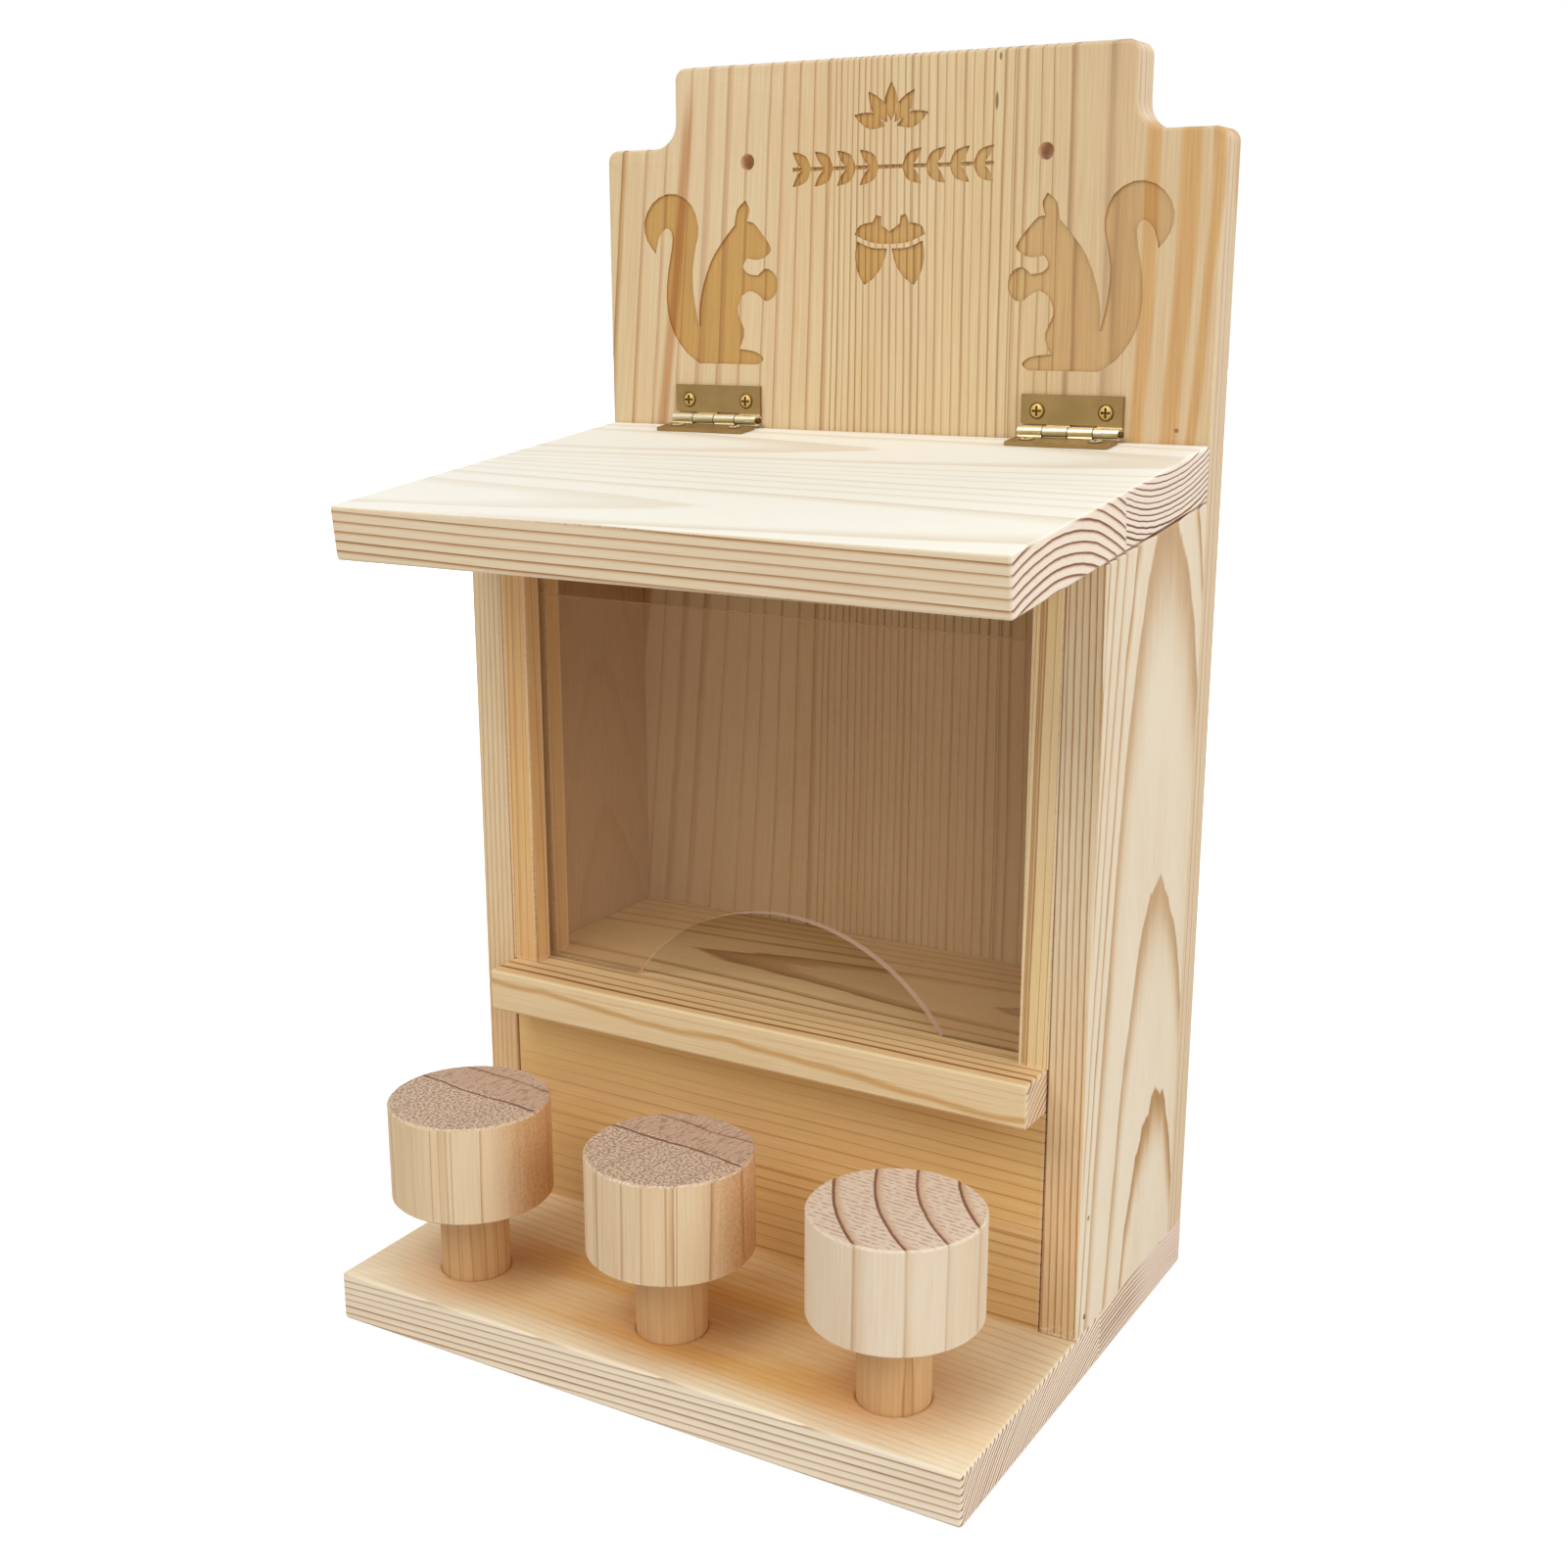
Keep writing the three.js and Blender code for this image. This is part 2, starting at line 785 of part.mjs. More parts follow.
for (const side of sides) {
  const name = side < 0 ? 'left' : 'right';
  feeder.add(part(`${name}_side_board`, sidePine, sideBoard(side)));
  feeder.add(part(`${name}_front_batten`, battenPine, batten(side, boxFront)));
  feeder.add(part(`${name}_rear_batten`, battenPine, batten(side, slotRear)));
  addRow(feeder, `${name}_side_brad`, bradSteel, sideBrads(side, brad));
  addRow(feeder, `${name}_back_brad`, bradSteel, backBrads(side, brad));
  addRow(feeder, `${name}_base_brad`, bradSteel, baseBrads(side, brad));

  // The upper leaf lies on the back board, and the lower leaf on the lid
  const x = side * hingeX;
  const onBoard = [[x, hingeAxisY, hingeAxisZ], [Math.PI / 2, 0, 0]];
  const onLid = [[x, 0, 0], [0, 0, Math.PI]];
  feeder.add(part(`${name}_hinge_upper_leaf`, brass, hingeLeaf(), ...onBoard));
  feeder.add(part(`${name}_hinge_pin`, brass, hingePin(), onBoard[0]));
  addRow(feeder, `${name}_hinge_upper_screw`, brass, hingeScrews(), ...onBoard);
  lidFrame.add(part(`${name}_hinge_lower_leaf`, brass, hingeLeaf(), ...onLid));
  addRow(lidFrame, `${name}_hinge_lower_screw`, brass, hingeScrews(), ...onLid);
}

lidFrame.add(part('lid_front_board', lidPine, lidFrontBoard()));
lidFrame.add(part('lid_rear_board', lidPine, lidRearBoard()));

for (const { name, x } of stools) {
  feeder.add(part(`${name}_stool_seat`, seatPine, stoolSeat(), [x, stoolY, 0]));
  feeder.add(part(`${name}_stool_stem`, stemWood, stoolStem(), [x, stoolY, 0]));
  feeder.add(part(`${name}_stool_screw`, bradSteel, upThrough(screw(stoolScrew), x, stoolY)));
}

export default feeder;
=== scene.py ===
"""The looks of a wooden feeder box for squirrels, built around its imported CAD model.

Blender and its solids work in metres. In the finishes, places and sizes are in millimetres of the
row frame, and a pair of them says where a change begins and where it is complete.
"""

import json
import math
from itertools import product
from types import SimpleNamespace

import bmesh
import bpy
import numpy as np
from mathutils import Matrix, Vector


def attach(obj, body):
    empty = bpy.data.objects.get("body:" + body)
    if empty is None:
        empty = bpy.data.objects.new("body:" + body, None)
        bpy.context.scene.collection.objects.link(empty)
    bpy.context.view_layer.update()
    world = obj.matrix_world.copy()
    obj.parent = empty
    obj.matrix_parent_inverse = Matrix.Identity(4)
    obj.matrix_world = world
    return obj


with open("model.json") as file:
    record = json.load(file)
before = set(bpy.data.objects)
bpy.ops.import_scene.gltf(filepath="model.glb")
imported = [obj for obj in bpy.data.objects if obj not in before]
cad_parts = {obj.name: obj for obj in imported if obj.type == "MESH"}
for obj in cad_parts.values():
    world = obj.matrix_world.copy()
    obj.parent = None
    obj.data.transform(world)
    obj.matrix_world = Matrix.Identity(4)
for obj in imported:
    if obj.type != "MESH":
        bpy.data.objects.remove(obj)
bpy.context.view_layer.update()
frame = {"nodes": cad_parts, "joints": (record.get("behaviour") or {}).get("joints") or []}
nodes = frame["nodes"]


# Camera: it stands in front of the box's right corner, a little above the lid, and looks down.

PHOTO_SIDE = 1601
SENSOR_MM = 36
FOCAL_PX = 1969.7
OPTICAL_CENTRE_PX = (812.1, 813.9)
EYE = Vector((0.22356, -0.37400, 0.24032))
LOOK = Vector((-0.48661, 0.83638, -0.25234))
RIGHT = Vector((0.86421, 0.50312, 0.00108))

lens = bpy.data.cameras.new("camera")
lens.sensor_width = SENSOR_MM
lens.lens = SENSOR_MM * FOCAL_PX / PHOTO_SIDE
lens.shift_x = 0.5 - OPTICAL_CENTRE_PX[0] / PHOTO_SIDE
lens.shift_y = OPTICAL_CENTRE_PX[1] / PHOTO_SIDE - 0.5
lens.clip_start = 0.01
camera = bpy.data.objects.new("camera", lens)
back = -LOOK.normalized()
across = (RIGHT - back * RIGHT.dot(back)).normalized()
camera.matrix_world = Matrix.LocRotScale(
    EYE, Matrix((across, back.cross(across), back)).transposed().to_quaternion(), None
)
bpy.context.scene.collection.objects.link(camera)
bpy.context.scene.camera = camera
bpy.context.scene.view_settings.view_transform = "Standard"


# Finishes: what every material below is written with. A Wire is one output of a material's
# nodes, and sums with it add Math nodes. A Finish adds any other node.

MM_PER_M = 1000.0
WHITE = (1, 1, 1, 1)


class Wire:
    """One output of a material's nodes."""

    def __init__(self, finish, socket):
        self.finish = finish
        self.socket = socket

    def sum(self, operation, *others):
        values = dict(enumerate([self, *others]))
        return self.finish.node("Math", {"operation": operation}, values)

    def __add__(self, other):
        return self.sum("ADD", other)

    __radd__ = __add__

    def __sub__(self, other):
        return self.sum("SUBTRACT", other)

    def __rsub__(self, other):
        return (self * -1) + other

    def __mul__(self, other):
        return self.sum("MULTIPLY", other)

    __rmul__ = __mul__

    def __truediv__(self, other):
        return self.sum("DIVIDE", other)

    def __pow__(self, power):
        return self.sum("POWER", power)

    def __abs__(self):
        return self.sum("ABSOLUTE")

    def least(self, other):
        return self.sum("MINIMUM", other)

    def most(self, other):
        return self.sum("MAXIMUM", other)

    def rise(self, low, high):
        """0 below low, 1 above high, and smooth between them."""
        ends = {"From Min": low, "From Max": high, "Value": self}
        return self.finish.node("MapRange", {"interpolation_type": "SMOOTHSTEP"}, ends)

    def fall(self, low, high):
        """1 below low, 0 above high, and smooth between them."""
        return 1 - self.rise(low, high)

    def ramp(self, low, high, top):
        """0 below low, top above high, and straight between them."""
        ends = {"From Min": low, "From Max": high, "To Max": top, "Value": self}
        return self.finish.node("MapRange", None, ends)


class Finish:
    """A material, and what is needed to write its nodes as sums."""

    def __init__(self, name):
        self.material = bpy.data.materials.new(name)
        self.material.use_nodes = True
        self.tree = self.material.node_tree
        self.shader = self.tree.nodes["Principled BSDF"]

    def put(self, socket, value):
        if isinstance(value, Wire):
            self.tree.links.new(value.socket, socket)
        else:
            socket.default_value = value

    def node(self, kind, settings=None, values=None, output=0):
        made = self.tree.nodes.new(f"ShaderNode{kind}")
        for name, setting in (settings or {}).items():
            setattr(made, name, setting)
        for name, value in (values or {}).items():
            self.put(made.inputs[name], value)
        return Wire(self, made.outputs[output])

    def place(self):
        """Where a point of the surface lies in the row frame, in millimetres."""
        return self.vector("SCALE", self.node("TexCoord", output="Object"), Scale=MM_PER_M)

    def facing(self, direction):
        """The cosine between the surface's own normal and a direction."""
        normal = self.node("TexCoord", output="Normal")
        return self.vector("DOT_PRODUCT", normal, direction, output="Value")

    def faces(self, direction, both_ways=False):
        """1 on surfaces that face a direction, or its opposite as well, and 0 elsewhere."""
        facing = self.facing(direction)
        return (abs(facing) if both_ways else facing).rise(0.5, 0.9)

    def vector(self, operation, *vectors, output=0, **values):
        values = {**dict(enumerate(vectors)), **values}
        return self.node("VectorMath", {"operation": operation}, values, output)

    def parts(self, vector):
        """The X, Y and Z of a vector."""
        return [self.node("SeparateXYZ", values={0: vector}, output=axis) for axis in "XYZ"]

    def join(self, x, y, z=0.0):
        """The vector with this X, Y and Z."""
        return self.node("CombineXYZ", values={0: x, 1: y, 2: z})

    def noise(self, place, scale, detail=2.0):
        values = {"Vector": place, "Scale": scale, "Detail": detail}
        return self.node("TexNoise", values=values, output="Fac")

    def grey(self, level):
        return self.node("CombineColor", values=dict(enumerate([level] * 3)))

    def blend(self, share, colour, other, way="MIX"):
        settings = {"data_type": "RGBA", "blend_type": way}
        values = {"Factor": share, 6: colour, 7: other}
        return self.node("Mix", settings, values, output=2)

    def bump(self, height, strength, distance):
        values = {"Height": height, "Strength": strength, "Distance": distance}
        return self.node("Bump", values=values)

    def surface(self, values):
        for name, value in values.items():
            self.put(self.shader.inputs[name], value)
        return self.material


def away(first, second):
    """How far off a point is, by how far off it is along two directions."""
    return (first**2 + second**2) ** 0.5


def paint(red, green, blue):
    """A colour as it looks on screen, from 0 to 255, in the linear light that nodes take."""
    shares = [channel / 255 for channel in (red, green, blue)]
    linear = [s / 12.92 if s < 0.04045 else ((s + 0.055) / 1.055) ** 2.4 for s in shares]
    return (*linear, 1.0)


# Stage: a pale floor that is white far off, a white sky and three soft lamps. Its sizes and
# places are in metres.

FLOOR_SIDE = 12.0
FLOOR_LIT = paint(215, 210, 203)
GLOW_NEAR = 0.36
GLOW_REACH = (0.25, 0.9)
LAMPS = {
    "key": dict(place=(-0.35, -1.0, 1.35), side=1.1, power=11),
    "right": dict(place=(1.4, -0.35, 0.75), side=1.2, power=9.5),
    "rear": dict(place=(0.3, 1.3, 1.2), side=1.2, power=6),
}
LAMPS_AIM = Vector((0, 0, 0.14))
SKY_LIGHT = 0.42

scene = bpy.context.scene
mesh = bpy.data.meshes.new("floor")
half = FLOOR_SIDE / 2
mesh.from_pydata(
    [(-half, -half, 0), (half, -half, 0), (half, half, 0), (-half, half, 0)],
    [],
    [(0, 1, 2, 3)],
)
floor = bpy.data.objects.new("floor", mesh)
scene.collection.objects.link(floor)

floor_finish = Finish("floor")
seen = floor_finish.node("LightPath", output="Is Camera Ray")
from_origin = floor_finish.node("TexCoord", output="Object")
from_origin = floor_finish.vector("LENGTH", from_origin, output="Value")
glow = (from_origin.rise(*GLOW_REACH) * (1 - GLOW_NEAR) + GLOW_NEAR) * seen
mesh.materials.append(
    floor_finish.surface(
        {
            "Base Color": floor_finish.blend(seen, FLOOR_LIT, WHITE),
            "Roughness": 0.9,
            "Emission Color": floor_finish.grey(glow),
            "Emission Strength": 1.0,
        }
    )
)

for name, lamp in LAMPS.items():
    light = bpy.data.lights.new(name, "AREA")
    light.shape = "DISK"
    light.size = lamp["side"]
    light.energy = lamp["power"]
    holder = bpy.data.objects.new(name, light)
    holder.location = lamp["place"]
    aim = LAMPS_AIM - holder.location
    holder.rotation_euler = aim.to_track_quat("-Z", "Y").to_euler()
    scene.collection.objects.link(holder)

sky = bpy.data.worlds.new("sky")
scene.world = sky
sky.use_nodes = True
rays = sky.node_tree.nodes.new("ShaderNodeLightPath")
backdrop = rays.outputs["Is Camera Ray"]
for ray in ("Is Glossy Ray", "Is Transmission Ray"):
    either = sky.node_tree.nodes.new("ShaderNodeMath")
    either.operation = "MAXIMUM"
    sky.node_tree.links.new(backdrop, either.inputs[0])
    sky.node_tree.links.new(rays.outputs[ray], either.inputs[1])
    backdrop = either.outputs[0]
strength = sky.node_tree.nodes.new("ShaderNodeMapRange")
sky.node_tree.links.new(backdrop, strength.inputs["Value"])
strength.inputs["To Min"].default_value = SKY_LIGHT
strength.inputs["To Max"].default_value = 1.0
background = sky.node_tree.nodes["Background"]
background.inputs["Color"].default_value = WHITE
sky.node_tree.links.new(strength.outputs[0], background.inputs["Strength"])


# Base: two boards of bare pine, edge-glued under the front of the box. Their grain runs across
# the box, the front board's rings rise towards the back, and their long edges are sanded round.

CREAM = paint(246, 228, 198)
HONEY = paint(214, 172, 118)
ROSE = paint(230, 202, 170)
AMBER = paint(206, 160, 104)
UMBER = paint(150, 98, 50)
END_CREAM = paint(240, 220, 200)
END_AMBER = paint(196, 150, 114)
END_UMBER = paint(126, 82, 52)
SANDED = paint(250, 238, 214)

# What a piece of pine has unless it says otherwise: the colours of its faces and ends, how
# strongly its rings show on them, where in a ring the dark wood stops and how thin its line is,
# how wavy and how uneven the rings are, and how much its edges are worn.
PLAIN_PINE = dict(
    pale=CREAM,
    warm=HONEY,
    warmth=0.3,
    mid=AMBER,
    dark=UMBER,
    end_pale=END_CREAM,
    end_mid=END_AMBER,
    end_dark=END_UMBER,
    late=0.85,
    end_late=1.0,
    crisp=0.93,
    sharp=4.0,
    wander=1.0,
    uneven=1.0,
    worn=0.35,
)

# Streaks that lie along the grain, by their scales across it and along it
BENDS = (0.03, 0.006)
RIPPLES = (0.3, 0.02)
PATCHES = (0.05, 0.006)
CLOUDS = (0.045, 0.007)
BLUSHES = (0.06, 0.012)
FIBRES = (2.6, 0.05)
DUCTS = (1.7, 0.07)

BENDS_DEPTH = 4
RIPPLES_DEPTH = 0.8
YEARS_DIFFER = 1.7
WORN_REACH = (0.2, 1.0)
GRAIN_BUMP = dict(strength=0.35, distance=0.00025)

# Further from the heart than any board reaches
BARK = 400


class Pine(Finish):
    """Bare pine. Its rings are shells round the tree's heart, so faces and ends agree.

    A board's grain is a direction, and its heart a point on the middle of the tree. The rings
    list how far out from the heart they go on, how wide they are there, and how much of a ring is
    dark. The looks are those values of PLAIN_PINE that a piece changes.
    """

    def __init__(self, name, span, grain, heart, rings, bend=None, lay=None, seed=0.0, **looks):
        super().__init__(name)
        self.look = SimpleNamespace(**{**PLAIN_PINE, **looks})
        self.grain = Vector(grain).normalized()
        self.seed = seed
        self.spot = self.place()
        if lay:
            pivot, pitch = lay
            values = {"Vector": self.spot, "Center": pivot, "Angle": -pitch}
            self.spot = self.node("VectorRotate", {"rotation_type": "X_AXIS"}, values)
            self.spot = self.vector("SUBTRACT", self.spot, pivot)
        self.x, self.y, self.z = self.parts(self.spot)

        from_heart = self.vector("SUBTRACT", bend(self) if bend else self.spot, heart)
        self.along = self.vector("DOT_PRODUCT", from_heart, self.grain, output="Value")
        axial = self.vector("SCALE", self.grain, Scale=self.along)
        self.outward = self.vector("SUBTRACT", from_heart, axial)

        self.late, self.line = self.grow(rings)
        self.fibre = self.streaks(*FIBRES, detail=4.0, shift=9)
        self.saw = self.noise(self.spot, 1.6, 3.0)
        self.end = abs(self.facing(self.grain)).rise(0.55, 0.9)
        self.colour = self.blend(self.end, self.face_colour(), self.end_colour())
        self.wear(self.rim(span).fall(*WORN_REACH) * self.look.worn)

    def streaks(self, across_scale, along_scale, detail=2.0, shift=0.0):
        """Noise that is stretched along the grain."""
        drawn = self.vector("SCALE", self.grain, Scale=self.along * (along_scale / across_scale))
        drawn = self.vector("ADD", self.outward, drawn)
        offset = (self.seed * 31.7 + shift, self.seed * 17.3, shift * 1.7)
        return self.noise(self.vector("ADD", drawn, offset), across_scale, detail)

    def grow(self, rings):
        """The dark wood of each ring, and the line where its year's growth stopped."""
        look = self.look
        radius = self.vector("LENGTH", self.outward, output="Value")
        radius = radius + (self.streaks(*BENDS) - 0.5) * (BENDS_DEPTH * look.wander)
        radius = radius + (self.streaks(*RIPPLES, shift=50) - 0.5) * (RIPPLES_DEPTH * look.wander)
        count, start, dark_share, share_before = 0, 0, 0, 0
        for end, width, share in rings:
            count = radius.ramp(start, end, (end - start) / width) + count
            dark_share = radius.sum("GREATER_THAN", start) * (share - share_before) + dark_share
            start, share_before = end, share
        one_way = {"noise_dimensions": "1D"}
        swell = self.node("TexNoise", one_way, {"W": count * 0.31 + self.seed}, "Fac")
        count = count + (swell - 0.5) * (YEARS_DIFFER * look.uneven)
        turn = count.sum("FRACT")
        year = {"W": count.sum("FLOOR") + self.seed}
        own = self.node("TexWhiteNoise", one_way, year, "Value")
        darkening = turn.rise(1 - dark_share, look.crisp)
        stop = turn.fall(look.crisp, 1.0) * (own * 0.4 + 0.6)
        return darkening * stop, darkening**look.sharp * stop

    def face_colour(self):
        """Clouds of colour, rings, and the short dark dashes of resin ducts."""
        look = self.look
        patchy = self.streaks(*PATCHES, shift=140).rise(0.3, 0.65) * 0.25 + 0.75
        dashes = self.streaks(*DUCTS, detail=1.0, shift=23).rise(0.68, 0.78)
        cloud = self.streaks(*CLOUDS, shift=70).rise(0.35, 0.7)
        blush = self.streaks(*BLUSHES, shift=110).rise(0.4, 0.75)
        colour = self.blend(cloud * look.warmth, look.pale, look.warm)
        colour = self.blend(blush * 0.25, colour, ROSE)
        colour = self.blend(self.late * patchy * look.late, colour, look.mid)
        colour = self.blend(self.line * patchy * look.late, colour, look.dark)
        return self.blend(dashes * 0.2, colour, look.mid)

    def end_colour(self):
        """Rings that show more strongly, on a rough sawn surface."""
        look = self.look
        late = (self.late * 1.3).least(1.0) * look.end_late
        line = (self.line * 2.5).least(1.0) * look.end_late
        colour = self.blend(late, look.end_pale, look.end_mid)
        colour = self.blend(line, colour, look.end_dark)
        return self.blend(self.saw.rise(0.5, 0.75) * 0.2, colour, look.end_mid)

    def rim(self, span):
        """How far a point is from the nearest edge, where two faces of the board meet."""
        low, high = span
        middle, reach = (high + low) / 2, (high - low) / 2
        first, second, third = (
            reach[axis] - abs(part - middle[axis])
            for axis, part in enumerate((self.x, self.y, self.z))
        )
        return first.least(second).most(first.most(second).least(third))

    def stain(self, where, strength, colour, way="MIX"):
        """Lays a colour over the wood, where a share says and as strongly as it is told."""
        self.colour = self.blend(where * strength, self.colour, colour, way)

    def wear(self, share):
        """Sands the wood pale, patchily."""
        self.stain(share, self.saw.rise(0.25, 0.65), SANDED)

    def done(self):
        """The material, with the fibres' light and shade on the colour and in the relief."""
        shade = self.grey((self.fibre - 0.5) * 0.3 + 0.5)
        relief = self.late * 0.5 + self.fibre * 0.6 + self.end * self.saw * 0.9
        return self.surface(
            {
                "Base Color": self.blend(1.0, self.colour, shade, "OVERLAY"),
                "Roughness": 0.66 - self.late * 0.14 + (self.fibre - 0.5) * 0.2 + self.end * 0.12,
                "Normal": self.bump(relief, **GRAIN_BUMP),
            }
        )


def span_of(node, turn=Matrix.Identity(4)):
    """The lowest and highest corners of a CAD node after a turn, in millimetres."""
    points = np.array([turn @ vertex.co for vertex in nodes[node].data.vertices]) * MM_PER_M
    return points.min(axis=0), points.max(axis=0)


# Rounding solids, in metres: how far they stand clear of a board, how close two corners are to
# be one, and how far a face may turn within a flat or a curved surface.
CUTTER_PLAY = 0.00001
SAME_PLACE = 1e-6
ROUND_SEGMENTS = 3
FLAT_TURN = math.radians(1)
CURVED_TURN = math.radians(35)


def rounding(name, solid, ease, edges, body):
    """Rounds a solid's edges, and keeps it unseen, for boards to be intersected with."""
    bmesh.ops.bevel(
        solid,
        geom=edges,
        offset=ease,
        segments=ROUND_SEGMENTS,
        profile=0.5,
        affect="EDGES",
        clamp_overlap=False,
    )
    mesh = bpy.data.meshes.new(name)
    solid.to_mesh(mesh)
    solid.free()
    cutter = bpy.data.objects.new(name, mesh)
    cutter.hide_render = True
    cutter.hide_viewport = True
    scene.collection.objects.link(cutter)
    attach(cutter, body)
    return cutter


def round_hull(boards, ease, body="feeder"):
    """A rounding solid just round boards that are glued edge to edge, or round one."""
    solid = bmesh.new()
    for board in boards:
        for vertex in nodes[board].data.vertices:
            solid.verts.new(vertex.co)
    bmesh.ops.remove_doubles(solid, verts=solid.verts, dist=SAME_PLACE)
    bmesh.ops.convex_hull(solid, input=solid.verts)
    inside = [vertex for vertex in solid.verts if not vertex.link_faces]
    bmesh.ops.delete(solid, geom=inside, context="VERTS")
    bmesh.ops.dissolve_limit(solid, angle_limit=FLAT_TURN, verts=solid.verts, edges=solid.edges)
    bmesh.ops.recalc_face_normals(solid, faces=solid.faces)
    solid.normal_update()
    for vertex in solid.verts:
        vertex.co += vertex.normal * (2 * CUTTER_PLAY)
    return rounding(f"{boards[0]}_rounding", solid, ease, solid.edges, body)


def dress(node, material, cutter=None):
    """Gives a CAD node its finish, and rounds its outer edges with a rounding solid."""
    piece = nodes[node]
    piece.data.materials.clear()
    piece.data.materials.append(material)
    piece.data.shade_smooth()
    piece.modifiers.new("weld", "WELD").merge_threshold = SAME_PLACE
    if cutter:
        rounded = piece.modifiers.new("rounded edges", "BOOLEAN")
        rounded.operation = "INTERSECT"
        rounded.solver = "EXACT"
        rounded.object = cutter
    piece.modifiers.new("crisp edges", "EDGE_SPLIT").split_angle = CURVED_TURN
    piece.modifiers.new("flat faces", "WEIGHTED_NORMAL").weight = 100


BASE_EASE = 0.0008
BASE_RINGS = [(BARK, 1.25, 0.5)]
SAWN_BROWN = paint(122, 78, 52)
TOP_CREAM = paint(250, 234, 198)
TOP_SHADE = paint(234, 194, 122)
TOP_SUN = paint(136, 118, 84)
STOOL_SHADE = paint(206, 152, 96)
PLAIN_END = paint(236, 214, 196)
SAWN_FADES_Y = (-44, -10)
UNDER_PANEL_Y = (-42, -20)
SHADE_STARTS_Y = (-65, -54)
SHADE_STARTS_X = (-84, -34)
SHADE_ENDS_X = (35, 72)
SUN_STARTS_X = (48, 76)
STOOL_SHADE_REACH = (8, 28)
STEM_SHADE_REACH = (8.2, 9.2)
PLAIN_END_Y = (26, 42)

base_rounding = round_hull(["base_front_board", "base_rear_board"], BASE_EASE)

wood = Pine(
    "base front pine",
    span_of("base_front_board"),
    grain=(1, 0, 0.05),
    heart=(0, 38, -100),
    rings=BASE_RINGS,
    wander=0.4,
    uneven=0.15,
    late=1.0,
    worn=0.1,
    pale=paint(251, 237, 214),
    warmth=0.2,
    mid=paint(226, 194, 150),
    dark=paint(156, 108, 68),
    end_pale=paint(252, 232, 210),
    end_mid=paint(176, 126, 90),
    end_dark=paint(82, 46, 26),
)
sawn = wood.end * wood.late.rise(0.35, 0.9) * (1 - wood.y.rise(*SAWN_FADES_Y) * 0.5)
wood.stain(sawn, 0.8, SAWN_BROWN)
top = wood.faces((0, 0, 1))
wood.stain(top, 0.8 - wood.y.rise(*UNDER_PANEL_Y) * 0.15, TOP_CREAM)
# Painted shade: the top is darkened with honey towards the back and away from its ends, partly
# the wood's own honey tone and partly painted shade.
broad = wood.streaks(0.07, 0.01, detail=3.0, shift=300).rise(0.4, 0.62)
middling = wood.x.rise(*SHADE_STARTS_X) * (1 - wood.x.rise(*SHADE_ENDS_X) * 0.9)
shaded = wood.y.rise(*SHADE_STARTS_Y) * (middling * 0.8 + 0.2) * (broad * 0.3 + 0.55)
wood.stain(top, shaded, TOP_SHADE, "MULTIPLY")
# Painted light: the top's right end is lightened.
wood.stain(top * wood.x.rise(*SUN_STARTS_X), 0.15, TOP_SUN, "SCREEN")
# Painted shade: round each stool's stem the top is darkened to a warm tan, standing in for the
# shade under the seat.
for side in ("left", "middle", "right"):
    low, high = span_of(f"{side}_stool_stem")
    x, y, _ = (low + high) / 2
    from_stool = away(wood.x - x, wood.y - y)
    near = from_stool.fall(*STOOL_SHADE_REACH) * 0.4 + from_stool.fall(*STEM_SHADE_REACH) * 0.4
    wood.stain(top, near, STOOL_SHADE, "MULTIPLY")
dress("base_front_board", wood.done(), base_rounding)

wood = Pine(
    "base rear pine",
    span_of("base_rear_board"),
    grain=(1, -0.01, 0.006),
    heart=(0, 30, -180),
    rings=BASE_RINGS,
    wander=0.3,
    uneven=0.3,
    late=1.0,
    seed=3,
)
wood.stain(wood.end * wood.y.rise(*PLAIN_END_Y), 0.85, PLAIN_END)
dress("base_rear_board", wood.done(), base_rounding)


# Back board: one tall board, its grain upright. Its outline is shaped with a round cutter, its
# edges are sanded, and the figures on its front are burnt and routed half a millimetre deep.

BACK_EASE = 0.001
BACK_AMBER = paint(190, 132, 72)
BACK_SHADE = paint(230, 220, 206)
BACK_EDGE = paint(244, 226, 200)
BACK_PINK = paint(230, 204, 168)
BAND_HONEY = paint(206, 156, 90)
STREAK_BROWN = paint(184, 122, 62)
LEAN_SHARE = 0.085
LEAN_ENDS_X = (-70, 10)
LEAN_LEVEL_Z = 150
LEFT_ENDS_X = (-25, -12)
BACK_SHADE_X = (20, 60)
PINK_STARTS_X = (-76, -70)
PINK_ENDS_X = (-45, -20)
PINK_AGAIN_X = (38, 56)
BANDS_LEVEL_Z = 240
BANDS_WAVE = 14
BANDS_LEAN = 0.01
HONEY_BANDS = ((64, 1.9), (72.8, 2.2), (78.6, 1.3))
STREAK_X = -62.5
STREAK_Z = 215
STREAK_LEAN = 0.12
STREAK_WAVE = 0.15
STREAK_REACH_X = (0.5, 2.2)
STREAK_REACH_Z = (60, 80)
PIN_KNOTS = ((27.4, 283.4, 0.4, 1.9), (28.1, 293, 0.35, 0.8), (74.2, 210.3, 0.5, 0.5))
KNOT_BROWN = paint(112, 70, 34)

# The figures' field, whose upper corners are cut away beside the crown, the two holes, and how
# far below the board's face their walls and floors begin and end
FIELD_HALF = 73
FIELD_TOP = 292.5
CROWN_HALF = 50
SHOULDER_TOP = 268
CUT_EDGE = 0.1
CUT_STARTS = (0.02, 0.06)
CUT_WALL_ENDS = (0.42, 0.48)
CUT_ENDS = (0.6, 0.7)
BURN_FADES_X = (-20, 50)
BURNT_TAN = paint(226, 200, 146)
HOLE_PLACES = ((-40, 272), (40, 272))
HOLE_REACH = 2.3
HOLE_STARTS = (0.02, 0.3)
HOLE_PAINTED_LIGHT = paint(236, 200, 160)


